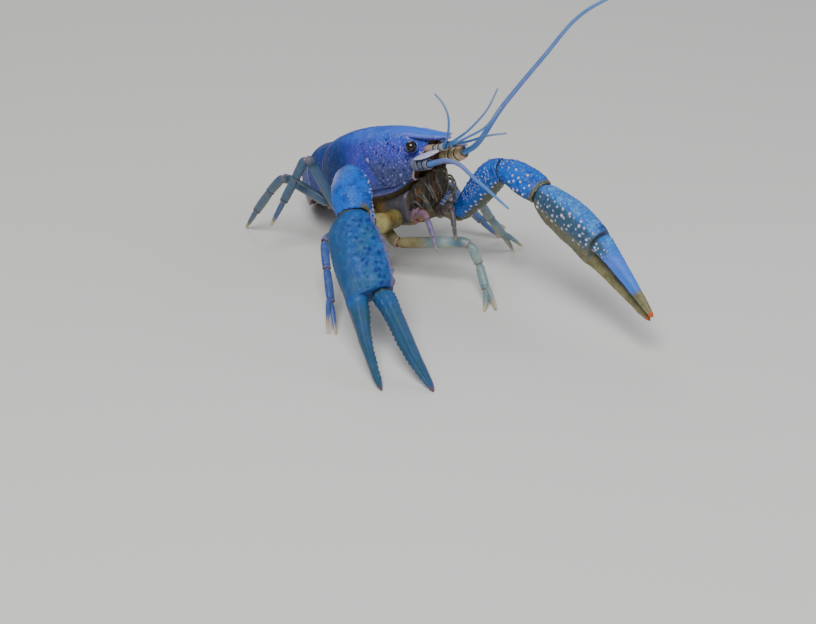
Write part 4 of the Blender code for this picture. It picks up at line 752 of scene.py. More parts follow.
def carapace():
    """Rows from the front edge over the neck groove to the rear, with granules, ridges, beaded margins."""
    turns = np.linspace(-np.pi, np.pi, 330, endpoint=False)
    row = spaced((0, 0.06, 0.92, 1.08, 1.93, 2.0), (12, 76, 26, 74, 18))[:, None]
    bend = groove_at(turns)
    s = np.where(row < 1, FRONT + (bend - FRONT) * row, bend + (REAR - bend) * (row - 1))
    side = np.abs(turns)
    rings = carapace_point(s, turns)
    # The ridge behind each eye, the two lines along the back behind the groove, and the beaded margins.
    ridge = bell((side - 0.56 - 0.006 * (s - 3.6)) * 6.5, 0.5) * step(2.4, 4.0, s) * (1 - step(7.0, 11.5, s))
    areola = (bell((side - 0.1 - 0.0022 * (s - 27.0) ** 2) * 9.5, 0.3) * step(bend + 1.5, bend + 3.0, s)
              * (1 - step(REAR - 2.5, REAR - 1.2, s)))
    rear_bead = bell(s - (REAR - 0.35), 0.35)
    rear_line = bell(s - (REAR - 1.3), 0.28) * (side < 2.4)
    front_bead = bell(s - (FRONT + 0.3), 0.32)
    lower_bead = bell((side - LOWER_EDGE) * 9.0, 0.5) * step(-1.0, 1.0, s)
    lower_line = bell((side - LOWER_EDGE + 0.16) * 9.0, 0.45) * step(0.0, 2.0, s)
    cheek_swelling = bell((side - 1.35) * 8.0, 2.6) * bell(s - 7.0, 3.2)
    height = (0.06 * waves(rings, 7.0, 3) + 0.04 * waves(rings, 2.6, 4) + 0.42 * ridge - 0.16 * areola
              + 0.2 * rear_bead - 0.2 * rear_line + 0.22 * front_bead + 0.3 * lower_bead - 0.22 * lower_line
              - 0.35 * step(LOWER_EDGE + 0.08, LOWER_EDGE + 0.3, side) + 0.35 * cheek_swelling)
    knob = 0.0
    for rows, columns, first, last, low, high, radius, rise, seed, pale in GRANULES:
        at, turn = strewn(rows, columns, 0.9, seed, (first, last), (low, high))
        found = domes(rings, carapace_point(np.tile(at, 2), np.outer((1, -1), turn).ravel()), radius, 1.0)
        height += rise * found
        knob = np.maximum(knob, pale * step(0.35, 0.85, found))
    rings = raised(rings, height)
    fore = 1 - step(bend - 1.0, bend + 2.0, s)
    cheek = np.maximum(step(0.95, 1.45, side) * fore, 0.85 * step(1.4, 1.8, side) * step(30.0, 14.0, s))
    # The rear zone darkens the shell behind the groove, most on its sides: partly the carapace's own darker
    # rear, partly painted shade.
    zones = {"side": step(0.42, 0.95, side + 0.06 * waves(rings, 5.0, 5)),
             "bright": 0.8 * step(0.5, 0.1, side) * step(16.0, 8.0, s),
             "rear": step(bend + 1.0, bend + 12.0, s) * (0.35 + 0.65 * step(0.3, 1.2, side)),
             "cheek": cheek,
             "speck": np.clip(fore * step(0.3, 0.8, side) + 0.35 * (1 - fore), 0, 1) * (side < 2.1),
             "dark": np.clip(0.25 * bell(s - bend, 0.9) * (side < GROOVE_END) * step(0.1, 0.6, side)
                             + 0.5 * areola + 0.5 * rear_line + 0.45 * lower_line, 0, 1),
             "belly": step(LOWER_EDGE + 0.03, LOWER_EDGE + 0.12, side),
             "knob": knob * (0.4 + 0.6 * (s < bend)) * (1 - 0.6 * cheek),
             "edge": np.clip(0.85 * bell(s - (FRONT + 0.15), 0.35) * step(0.75, 1.15, side) * (side < 2.5)
                             + 0.15 * lower_bead * step(3.0, 6.0, s) + 0.25 * rear_bead, 0, 1)}
    # Both open ends turn in behind their edge and are closed by a skin.
    front = closing(rings[0], *zip(*FRONT_SKIN))
    back = closing(rings[-1], *zip(*BACK_SKIN))
    ends = ((len(front), len(back)), (0, 0))
    zones = {key: np.pad(np.broadcast_to(value, rings.shape[:2]), ends) for key, value in zones.items()}
    full = np.concatenate([front, rings, back])
    inside = len(front) - 2
    zones["face"] = 1.0 * (np.arange(len(full)) < inside)[:, None]
    zones["edge"][inside:len(front)] = 0.5
    zones["dark"][-len(back):] = 0.7
    put("carapace_shell", [(stand(full), zones)], CARAPACE_CHITIN, "carapace")


def rostrum():
    """A trough-shaped beak along the middle of the head, with raised rims, two spines and a sharp end."""
    ahead = spaced((-8.0, 6.8, 10.6), (84, 46))[:, None]
    turns = around(72)
    half, top, deep = (eased(ahead, ROSTRUM_AT, table) for table in (ROSTRUM_HALF, ROSTRUM_TOP, ROSTRUM_DEEP))
    out = np.abs(np.sin(turns))
    up = np.cos(turns)
    rings = block(-ahead, half, top - deep, top, turns, 0.85, 0.8)
    trough = 0.42 * bell(out - 0.9, 0.12) - 0.16 * bell(out, 0.5)
    rings[..., 2] += np.clip(half / 2, 0, 1) * trough * (up > -0.2)
    found = bumps(rings, *strewn(34, 7, 0.9, 21, (0, len(ahead)), (-0.2 * TURN, 0.2 * TURN)), 0.22)
    rings = raised(rings, 0.07 * found + 0.03 * waves(rings, 2.0, 22))
    rims = bell(out - 0.92, 0.14) * step(-0.3, 0.1, up)
    grids = [(stand(rings), {"knob": 0.2 * step(0.4, 0.9, found) + 0.3 * rims * (ahead > -5),
                             "bright": 0.9 * step(-0.2, 0.1, up), "side": 0.25 * step(0.75, 1.0, out),
                             "edge": 0.35 * step(9.0, 10.4, ahead), "face": 0.75 * step(0.1, -0.5, up)})]
    for hand, _ in SIDES:
        root, tip = stand(np.array(ROSTRUM_SPINE) * (hand, 1, 1))
        grids.append((thorn(root, tip - root, 0.42, 1.25), {"knob": 0.4}))
    put("rostrum_beak", grids, CARAPACE_CHITIN, "carapace")


def carapace_thorns():
    """Sharp spines behind the eyes, at the neck groove and along the cheek's edge."""
    grids = []
    for hand, _ in SIDES:
        for s, turn, radius, height in CARAPACE_SPINES:
            root = carapace_point(s, hand * turn)
            out = unit(root - carapace_point(s + 2, hand * turn * 0.6) + (0, -1.2, 0))
            grids.append((thorn(stand(root), stand(root + out) - stand(root), radius, height), {"edge": 0.4}))
    put("carapace_thorns", grids, CARAPACE_CHITIN, "carapace")


def eyes():
    """A faceted ball on a short stalk that widens to a collar round it."""
    rise = np.linspace(0.04, np.pi - 0.04, 56)[:, None, None]
    turns = around(72)[:, None]
    t = np.linspace(0, 1, 40)
    for hand, tag in SIDES:
        centre, inner = stand(np.array((EYE_AT, STALK_ROOT)) * (hand, 1, 1))
        way = unit(centre - inner)
        across, other = axes_on(way[None], np.array((0.0, 0.0, 1.0)))
        outward = np.cos(turns) * across + np.sin(turns) * other
        ball = centre + EYE_RADIUS * (np.sin(rise) * outward - np.cos(rise) * way)
        cover = step(0.0, 0.5, (centre - ball) @ way / EYE_RADIUS)
        put("eye_ball_" + tag, [(ball, {"pale": cover})], EYE_GLASS, "eye_" + tag)
        path = inner + np.outer(t * (np.linalg.norm(centre - inner) - 0.55), way)
        size = eased(t, (0, 0.4, 0.75, 0.93, 1.0), (0.8, 0.85, 1.15, 1.42, 1.3))
        rings = ovals(path, np.tile(way, (len(t), 1)), (0.0, 0.0, 1.0), size, size * 0.97, around(48))
        rings = raised(rings, 0.05 * waves(rings, 1.2, 31))
        put("eye_stalk_skin_" + tag, [(rings, {"dark": 1 - step(0.0, 0.45, t)[:, None]})], STALK_CHITIN,
            "eyestalk_" + tag)


def segment(path, start, end, rows, count, side, wide, deep, tip=False, rim=0.06, neck=0.28):
    """One limb segment along a path, from start to end in millimetres, with its length's parts and its joint.

    A neck sits in the segment before it. The body follows its tables of half widths and half depths. It ends
    in a raised rim and a cup that turns in for the next one, or in a rounded point.
    """
    at = start + (1 - np.cos(np.pi * np.linspace(0, 1, rows))) / 2 * (end - start)
    size = 1 - neck * bell(at - start, 0.55)
    joint = bell(at - start, 0.45)
    if tip:
        size = size * np.sqrt(np.clip(1 - (1 - np.clip((end - at) / 0.5, 0, 1)) ** 2, 0.01, 1))
        cup = cup_size = cup_joint = ()
    else:
        size = size + rim * bell(end - at - 0.32, 0.24) - 0.5 * rim * bell(end - at - 0.95, 0.3)
        size = size * (1 - 0.07 * bell(end - at, 0.1))
        cup = end - np.array((0.06, 0.3, 0.55, 0.6))
        cup_size = (0.88, 0.83, 0.78, 0.4)
        cup_joint = (0.5, 1, 1, 1)
    at = np.maximum(np.concatenate([start - np.array((0.5, 0.4, 0.2)), at, cup]), 0.0)
    size = np.concatenate([(0.3, 0.55, 0.66), size, cup_size])
    joint = np.concatenate([(1, 1, 1), joint, cup_joint])
    centres, ways = walk(path, at)
    part = np.clip((at - start) / (end - start), 0, 1)
    rings = ovals(centres, ways, side, eased(part, *wide) * size, eased(part, *deep) * size, around(count))
    return rings, part[:, None], joint[:, None]


def under(rings):
    """How much a surface looks down: 1 where its normal points to the floor."""
    return step(0.1, 0.75, -skin_normals(rings)[..., 2])


def limb(path, shells, rows, count, side, start=0.0, end=None, wide=1.0, deep=1.0, tip=False, **rims):
    """The segments of a limb, each with its parts of its own length, its joint and its parts of the whole.

    A shell is a table of radii at parts of the limb's length. Wide and deep multiply its radii.
    """
    length = (lengths(path)[-1] if end is None else end) - start
    for radii in shells:
        at, radius = np.transpose(radii)
        first, last = at[0], at[-1]
        stops = (at - first) / (last - first)
        rings, part, joint = segment(path, start + first * length, start + last * length, rows, count, side,
                                     (stops, radius * wide), (stops, radius * deep),
                                     tip and last == 1, **rims)
        yield rings, part, joint, first + (last - first) * part


def facing(rings, way, low, high):
    """How much a surface looks to the side, to the left with a way of 1 and to the right with -1."""
    return step(low, high, skin_normals(rings)[..., 0] * way)


def feeler_bases():
    """Antenna bases of three shells, their scales rolled a little outwards, and stems of the antennules."""
    t = np.linspace(0, 1, 90)[:, None]
    turns = around(60)
    sine = np.sin(turns)
    half = eased(t, *zip(*SCALE_HALF))
    for hand, tag in SIDES:
        right = tag == "R"
        path, _ = path_through(stand((*(np.array(BASE_START) * (hand, 1, 1)), BASE_END[tag])), (0.6,), 4)
        thick = 1.0 if right else 1.25
        grids = []
        for rings, part, joint, along in limb(path, BASE_SHELLS, 44, 48, (0.0, 0.3, 1.0), 0.0, None, thick,
                                              thick, rim=0.03, neck=0.1):
            rings = raised(rings, 0.1 * waves(rings, 1.8, 41) + 0.05 * waves(rings, 0.7, 42))
            warm = step(0.6, 1.0, part) * (0.6 if along.max() > 0.9 else 0.15)
            grids.append((rings, {"dark": (0.2 if right else 0.35) * joint,
                                  "warm": (0.15 if right else 1.0) * warm,
                                  "violet": 0.95 if right else 0.0}))
        put("antenna_base_shells_" + tag, grids, PEDUNCLE_CHITIN, "antenna_base_" + tag)

        centre = grid_of(hand * (5.8 - 1.6 * t), -3.2 - 7.4 * t, -2.7 + 1.3 * t)
        out = hand * np.cos(turns)
        thick = 0.3 * (1 - 0.5 * np.abs(out) ** 3) * sine * np.sqrt(half / 1.3)
        rib = 0.14 * bell(out - 0.55, 0.16) * np.clip(sine, 0, 1)
        rings = centre + grid_of(half * np.cos(turns), 0.0, thick + rib - SCALE_ROLL * out * half)
        # The dark band along the blade, strongest at its root, is painted shade.
        zones = {"dark": 0.6 * bell(out - 0.3, 0.2) * (1 - t), "edge": step(0.75, 1.0, -out)}
        root = centre[-12, 0] + (hand * 0.62, 0, 0)
        spine = thorn(stand(root), stand(root + (hand * -0.25, -1.0, 0.06)) - stand(root), 0.26, 1.0)
        put("antenna_scale_blade_" + tag, [(stand(rings), zones), (spine, {"edge": 0.6})], SCALE_CHITIN,
            "antenna_scale_" + tag)

        path, _ = path_through(stand(np.array(STEM) * (hand, 1, 1)), (0.6,), 4)
        grids = []
        for rings, part, joint, along in limb(path, STEM_SHELLS, 36, 36, (0.0, 0.3, 1.0), rim=0.07):
            near = along[0] == 0
            grids.append((rings, {"dark": 0.45 * joint, "blue": 0.15 if near else 0.5,
                                  "warm": 0.7 * (1 - 0.5 * part) if near else 0.15}))
        put("antennule_stem_" + tag, grids, PEDUNCLE_CHITIN, "antennule_" + tag)


def whip(name, points, thick, thin, pitch, node, pale, violet):
    """A ringed whip: its radius tapers, and within each ringlet swells by a sine to its far end."""
    path = smooth_path(points, 24)
    length = lengths(path)[-1]
    ringlets = int(length / pitch)
    t = np.linspace(0, 1, 5 * ringlets)
    centres, ways = walk(path, t * length, 0.2)
    phase = (t * ringlets) % 1.0
    size = (thick + (thin - thick) * t ** 0.8) * (0.93 + 0.1 * np.sin(np.pi * phase) * (0.6 + 0.4 * phase))
    size = size * np.sqrt(np.clip((1 - t) * length / 0.3, 0.02, 1) * np.clip(t * length / 0.15, 0.3, 1))
    rings = ovals(centres, ways, (0.2, 0.3, 1.0), size, size, around(12))
    t = t[:, None]
    put(name, [(rings, {"dark": 0.55 * bell(np.minimum(phase, 1 - phase), 0.16)[:, None],
                        "pale": pale * step(0.2, 1.0, t),
                        "violet": violet * step(0.0, 0.25, t) * (1 - step(0.3, 0.75, t))})],
        WHIP_CHITIN, node)


def whips():
    """The two long antennae and the four thin whips of the antennules."""
    for hand, tag in SIDES:
        start = stand(BASE_END[tag])
        way = unit(ANTENNA[tag][1] - start)
        whip("antenna_whip_" + tag, [start - way * 0.3, *ANTENNA[tag][1:]], 0.75, 0.28, 0.62,
             "antenna_" + tag, 0.3, 0.5 if tag == "R" else 0.25)
        _, middle, tip = stand(np.array(STEM) * (hand, 1, 1))
        for i, (place, way) in enumerate(zip(("outer", "inner"), ANTENNULE[tag])):
            start = tip - unit(tip - middle) * 0.3 + (hand * WHIPS_APART * (0.5 - i), 0, 0)
            whip("antennule_whip_%s_%s" % (place, tag), [start, *way], 0.36, 0.22, 0.42,
                 "antennule_%s_%s" % (place, tag), 0.7, 0.0)


def sternum():
    """The floor of the thorax: a flat-sided trough that swells at each pair of legs, by a cosine."""
    s = np.linspace(STERNUM_AT[0], STERNUM_AT[-1], 170)[:, None]
    turns = around(120)
    up = np.cos(turns)
    high = eased(s, CARAPACE_AT, CARAPACE_LOW) + 2.5
    rings = block(s, STERNUM_HALF, eased(s, STERNUM_AT, STERNUM_LOW), high, turns, 0.55, 0.45)
    x = np.abs(rings[..., 0])
    down = step(0.0, -0.6, up)
    between = np.cos((s - 8.6) / 4.45 * TURN)
    middle = bell(x, 0.5) * down
    rings = raised(rings, 0.3 * between * down * step(5.0, 1.2, x) - 0.35 * middle
                   + 0.05 * waves(rings, 1.6, 51))
    zones = {"dark": np.clip(0.7 * middle + 0.6 * step(0.2, -1.0, between) * down, 0, 1),
             "violet": 0.85 * step(-0.85, -0.4, up) * step(17.0, 11.0, s),
             "knob": 0.5 * step(0.5, 1.0, between) * down * bell(x - 2.6, 1.2)}
    put("sternum_skin", [(stand(rings), zones)], UNDERSIDE_SKIN, "sternum")


def mouth():
    """The field of mouthparts: a rounded block that a cosine folds into plates, and small feet."""
    s = np.linspace(MOUTH_AT[0], MOUTH_AT[-1], 110)[:, None]
    half, low, high = (eased(s, MOUTH_AT, table) for table in (MOUTH_HALF, MOUTH_LOW, MOUTH_HIGH))
    rings = block(s, half, low, high, around(110), 0.7, 0.7)
    x = np.abs(rings[..., 0])
    fold = np.cos((x + 0.35 * (s + 3.6)) / 1.5 * TURN)
    rings = raised(rings, 0.2 * fold - 0.4 * bell(x, 0.35) + 0.1 * waves(rings, 1.4, 61))
    zones = {"edge": 0.55 * step(0.86, 1.0, fold) * step(-0.3, 0.4, waves(rings, 3.0, 63)),
             "warm": 0.8 * step(0.25, 0.7, waves(rings, 4.0, 62))}
    put("mouth_plates", [(stand(rings), zones)], MOUTH_SKIN, "mouth")
    grids = []
    for hand, _ in SIDES:
        for thick, *foot in MOUTH_FEET:
            path = smooth_path(stand(np.array(foot) * (hand, 1, 1)), 12)
            for rings, part, _, along in limb(path, MOUTH_FOOT_SHELLS, 22, 20, (hand, 0.2, 0.1), wide=thick,
                                              deep=thick, tip=True):
                grids.append((rings, {"warm": 0.35 * facing(rings, -hand, -0.3, 0.5), "olive": 0.9,
                                      "tip": 0.5 * step(0.6, 1.0, part) * (along[-1] == 1)}))
    put("mouth_feet", grids, FOOT_CHITIN, "mouth")


def maxillipeds():
    """The outer mouth feet: four shells on a bent line, combed with bristles on the inner side."""
    shells = [[(at, eased(at, *zip(*FOOT_RADII))) for at in np.linspace(first, last, 5)]
              for first, last in zip(FOOT_JOINTS, FOOT_JOINTS[1:])]
    for hand, tag in SIDES:
        right = tag == "R"
        path, _ = path_through(MAXILLIPED[tag], (1.2, 1.6, 1.0), 6)
        grids = []
        hairs = []
        comb = unit(np.array((-hand * 0.8, 0.0, -0.6)))
        for rings, part, joint, along in limb(path, shells, 44, 36, (1.0, 0.2, 0.1), wide=0.8, tip=True):
            rings = raised(rings, 0.04 * waves(rings, 1.3, 71))
            warm = 0.8 * under(rings) + 0.35 * facing(rings, -hand, -0.2, 0.6) + 0.45 * (along[-1] < 0.7)
            grids.append((rings, {"warm": np.clip(warm, 0, 1) * (0.9 if right else 0.5), "joint": 0.7 * joint,
                                  "olive": 0.15 if right else 0.75,
                                  "tip": 0.7 * step(0.5, 1.0, part) * (along[-1] == 1)}))
            roots, ways = grid_spots(rings, np.linspace(8, len(rings) - 8, 12), 0.5 if right else 0.0)
            hairs += [thorn(root, comb + 0.5 * way, 0.07, 0.9, count=4) for root, way in zip(roots, ways)]
        line = smooth_path(np.array(EXOPOD) * (hand, 1, 1), 16)
        reach = lengths(line)[-1]
        t = np.linspace(0, 1, 110)
        band = np.cos(t * reach / (0.62 if right else 1.05) * TURN)
        end = np.sqrt(np.clip((1 - t) / 0.06, 0.05, 1))
        thick = EXOPOD_THICK[tag] * (1 - 0.55 * t) * (1 + 0.07 * band) * end
        grids.append((ovals(*walk(line, t * reach), (0.3, 1.0, 0.2), thick, thick, around(28)),
                      {"olive": 0.9} if right else {"pale": step(-0.7, 0.2, band)[:, None], "blue": 0.6}))
        put("maxilliped_shells_" + tag, grids, FOOT_CHITIN, "maxilliped_" + tag)
        put("maxilliped_bristles_" + tag, [(hair, {}) for hair in hairs], BRISTLE_HORN, "maxilliped_" + tag)


def claw_frame(tag, wrist):
    """Axes of a claw, to its inner edge, to its tip and out of its back, with the scale of its outline."""
    reach = np.subtract(FINGER_TIP[tag], wrist)
    straight = unit(reach)
    faces = np.asarray(PALM_FACES[tag])
    back = unit(faces - (faces @ straight) * straight)
    inner = np.cross(straight, back) * (-1 if tag == "R" else 1)
    c = math.cos(FINGER_LEAN)
    s = math.sin(FINGER_LEAN)
    axes = np.array((inner * c - straight * s, straight * c + inner * s, back))
    return axes, np.linalg.norm(reach) / CLAW_LENGTH


def claw_outline(y, middle, half, thick, turns, closing_turn=0.0):
    """Rings of the claw's outline in its own axes, swung about the hinge where the finger closes."""
    swing = closing_turn * np.clip((y - HINGE_Y) / 3.0, 0, 1)
    dx = middle + half * np.cos(turns) - HINGE_X
    dy = y - HINGE_Y
    return grid_of(HINGE_X + dx * np.cos(swing) - dy * np.sin(swing),
                   HINGE_Y + dx * np.sin(swing) + dy * np.cos(swing), thick * squared(np.sin(turns), 0.9))


def bowed(y, bow):
    """How far to its back a claw lies at this distance from the wrist: bow (1 - (2 y / length - 1)^2)."""
    return bow * (1 - (2 * y / CLAW_LENGTH - 1) ** 2)


def finger_ridge(turns, off):
    """A ridge along the back of a finger with a furrow on each side."""
    at = np.cos(turns) + off
    return np.abs(np.sin(turns)) ** 3 * (bell(at, 0.22) - 0.5 * bell(np.abs(at) - 0.5, 0.18))


def claw_arm(tag):
    """Ischium, merus and carpus of a claw, each with its rows of tubercles."""
    joints = np.array(CLAW[tag])
    path, marks = path_through((*joints, FINGER_TIP[tag]), (1.2, 3.0, 5.2, 3.4), 12)
    ends = (0.0, *lengths(path)[marks[2:5]])
    bend = unit(np.cross(joints[3] - joints[2], joints[4] - joints[3]))
    for name, start, end in zip(("ischium", "merus", "carpus"), ends, ends[1:]):
        tagged = name + "_" + tag
        piece = name + "_shell_" + tag
        wide, deep = CLAW_SEGMENTS[tagged if name == "carpus" else name]
        stops = np.linspace(0, 1, len(wide))
        count = 60 if name == "ischium" else 130
        rings, part, joint = segment(path, start, end, count, count, bend, (stops, wide), (stops, deep),
                                     rim=0.03, neck=0.14)
        height = 0.08 * waves(rings, 3.0, 81) + 0.04 * waves(rings, 1.2, 82)
        if name == "ischium":
            rings = raised(rings, height)
            pale = 0.95 * step(0.4, 0.65, part) if tag == "R" else 0.3
            # Its downward faces are darkened a little as painted shade.
            zones = {"joint": joint, "dark": 0.3 * under(rings), "pale": pale}
            put(piece, [(rings, zones)], UNDERSIDE_SKIN, tagged)
            continue
        knob = 0.0
        for k, (low, high, first, last, rows, columns, least, most) in enumerate(TUBERCLES[tagged]):
            at, turn = strewn(rows, columns, 0.7, 84 + k, (first, last), (low, high))
            row = np.interp(at, part[3:-4, 0], np.arange(3, len(part) - 4))
            found = bumps(rings, row, turn, uneven(86 + k, least, most, len(at)), 1.0, 1.2)
            height += 0.7 * most * found
            knob = np.maximum(knob, step(0.25, 0.6, found))
        # Small scales all over, each with a dark front that is painted shadow under the scale.
        row, turn = strewn(16, 16, 0.9, 83, (4, len(part) - 6))
        small = bumps(rings, row, turn, 0.34, 1.0, 1.3)
        height += 0.12 * small
        knob = np.maximum(knob, (0.3 if tag == "L" else 0.12) * step(0.4, 0.9, small))
        dark = 0.4 * step(0.3, 0.9, bumps(rings, row + 1.5, turn, 0.4)) * (1 - knob)
        rings = raised(rings, height)
        belly = under(rings)
        turns = around(count)
        painted_highlight = 0.0
        if name == "merus":
            # The lower side of the left merus is olive.
            skin = 0.9 * step(0.35, 0.55, np.cos(turns - 4.94)) * (tag == "L")
        else:
            # Skin shows at the far end of the carpus, on the right claw's arm only on its inner side.
            skin = step(0.87, 0.97, part) * (1.0 if tag == "L" else step(0.1, 0.6, np.cos(turns + 0.3)))
            # The right carpus gets a painted highlight on its upper outer side, painted in the pale tubercle
            # colour.
            if tag == "R":
                painted_highlight = 0.65 * bell(turns - 2.6, 0.5) * bell(part - 0.2, 0.22)
        zones = {"knob": np.maximum(0.95 * knob, painted_highlight), "dark": dark, "joint": joint,
                 "bright": 0.9 * (1 - belly), "belly": 0.55 * belly, "skin": skin}
        put(piece, [(rings, zones)], CLAW_CHITIN, tagged)
    return path[marks[4]]


def floor_flat(rings):
    """Rings kept from going under the floor."""
    rings = rings.copy()
    rings[..., 2] = np.maximum(rings[..., 2], 0.0)
    return rings


def palm(tag, wrist):
    """The palm with its fixed finger: the outline's eased edges, scales or tubercles, a ridge and teeth."""
    right = tag == "R"
    axes, size = claw_frame(tag, wrist)
    y = spaced((-0.5, 1.6, 19.3, 20.2, 40.4, 41.2), (16, 106, 20, 104, 10))[:, None]
    stops, outer, inner, thick = np.transpose(PALM)
    n = PALM_ROWS_BEFORE_NOTCH
    notch = step(stops[n - 1], stops[n] + 0.15, y)
    inner_edge = eased(y, stops[:n], inner[:n]) * (1 - notch) + eased(y, stops[n:], inner[n:]) * notch
    outer_edge = eased(y, stops, outer)
    thick = eased(y, stops, thick)
    narrow = (1 - 0.17 * bell(y + 0.5, 0.8)) * np.sqrt(np.clip((41.25 - y) / 0.8, 0.05, 1))
    turns = around(170)
    local = claw_outline(y, (outer_edge + inner_edge) / 2, (inner_edge - outer_edge) / 2 * narrow,
                         thick * narrow, turns)
    # Before the notch the back and the belly already swell as the finger does, so that the two meet smoothly.
    finger_back = np.sqrt(np.clip(1 - ((local[..., 0] + 4.55) / 2.55) ** 2, 0, 1)) ** 0.9
    swell = np.maximum(finger_back * thick - np.abs(local[..., 2]), 0)
    local[..., 2] += np.sign(local[..., 2]) * swell * step(13.0, 19.4, y) * step(20.1, 19.9, y)
    local[..., 2] += bowed(local[..., 1], BOW[tag])
    sine = np.sin(turns)
    cosine = np.cos(turns)
    on_palm = 1 - step(18.6, 20.4, y)
    finger = step(20.0, 24.0, y)
    height = (0.1 * waves(local, 4.0, 91) + 0.05 * waves(local, 1.5, 92) - 0.12
              + 0.2 * finger * finger_ridge(turns, 0.05))
    # Low scales in slanting rows over the back, crowded to the inner edge and fading to the outer one.
    upper = 1.0 if right else -1.0
    at, turn = strewn(10, 8, 0.7, 93, (1.6, 19.2), (-0.3, 2.3))
    strong = (1 - step(1.35, 2.1, np.abs(turn))) * uneven(90, 0.45, 1.0, len(at))
    centres, ways = grid_spots(local, np.interp(at, y[:, 0], np.arange(len(y))), upper * turn / TURN)
    scales = domes(local, centres, 0.95, 0.12 + 0.88 * strong, ways, 1.35)
    # Just before each scale lies a dip, which on the right claw is painted dark as painted shadow under the
    # scale.
    ahead = centres + ways * 0.85 + np.random.default_rng(97).normal(0, 0.12, centres.shape)
    front = domes(local, ahead, uneven(99, 0.45, 1.0, len(at)), strong)
    # Small scales everywhere else, and pits on the finger.
    fine = bumps(local, *strewn(22, 24, 0.8, 94, (0.8, 22.8)), 0.4, 1.0, 1.4, y)
    pits = bumps(local, *strewn(30, 9, 0.8, 95, (20.5, 39.5)), 0.28, y=y)
    # Strong teeth and three rows of small scales along the palm's inner edge, round teeth along the finger's.
    at = np.arange(2.9, 19.0, 2.1)
    crest = bumps(local, at, 0.0, 0.8, 1.0, 1.3, y)
    crest = np.maximum(crest, 0.8 * bumps(local, at + 1.0, 0.05 * TURN * upper, 0.65, 1.0, 1.3, y))
    row = np.repeat((-0.55, 0.3, 0.6), 17)
    at = np.tile(np.arange(2.2, 19.1, 1.05), 3) + 0.5 * (row == 0.3)
    crest = np.maximum(crest, 0.55 * bumps(local, at, row, 0.55, 1.0, 1.3, y))
    at = np.arange(22.0, 39.0, 1.15)
    teeth = bumps(local, at, 0.0, np.where(np.arange(len(at)) == 5, 0.8, 0.5), y=y)
    height += (0.34 * scales - 0.16 * front * (1 - scales) + 0.07 * fine * (1 - finger) - 0.07 * pits * finger
               + (0.36 if right else 0.25) * crest + 0.22 * teeth)
    if right:
        hinge = bell(y - 19.2, 0.9) * step(0.0, 0.8, cosine)
        # The dark in front of each scale is painted shadow.
        zones = {"finger": 0.85 * finger + 0.45 * step(-0.1, -0.8, cosine) * on_palm, "knob": 0.0,
                 "dark": np.clip(0.9 * step(0.08, 0.55, front) * on_palm + 0.8 * hinge, 0, 1),
                 "belly": 0.8 * step(0.2, 0.8, -sine), "tip": 0.25 * step(39.8, 41.0, y),
                 "edge": (0.45 * finger * bell(cosine + 1, 0.12)
                          + 0.5 * on_palm * step(0.86, 0.97, cosine) * step(-0.4, 0.2, sine))}
    else:
        # Round pale tubercles on the side between the inner edge and the belly, which faces the camera.
        at, turn = strewn(10, 5, 0.6, 96, (1.2, 19.4), (4.7, 5.85))
        sizes = uneven(98, 0.34, 0.64, len(at))
        tubercles = bumps(local, at, turn, sizes, sizes / 0.64, y=y)
        height += 0.38 * tubercles
        edge = signed(turns)
        blue_side = step(-0.75, -0.35, edge) * step(2.4, 1.9, edge)
        lower_side = step(-0.35, -0.75, edge) * step(-2.6, -2.2, edge)
        low_edge = 0.75 * step(-1.15, -1.65, edge) * lower_side
        zones = {"pale": 0.75 * blue_side * on_palm, "belly": 0.6 * lower_side * (1 - 0.3 * finger),
                 "olive": np.clip(0.95 * step(18.4, 21.4, y) + low_edge, 0, 1),
                 "knob": np.maximum(0.85 * step(0.2, 0.5, tubercles),
                                    0.3 * step(0.4, 0.9, fine) * blue_side * on_palm),
                 "dark": 0.9 * bell(y - 18.6, 1.1) * step(-0.3, 0.5, edge) * (edge < 2),
                 "tip": 0.95 * step(39.6, 40.8, y)}
    zones["knob"] = np.maximum(zones["knob"], 0.5 * step(0.45, 0.9, teeth) * finger)
    zones["joint"] = bell(y + 0.4, 0.5)
    rings = raised(local, height) * size @ axes + wrist
    put("palm_shell_" + tag, [(floor_flat(rings), zones)], CLAW_CHITIN, "propodus_" + tag)
    return axes, size


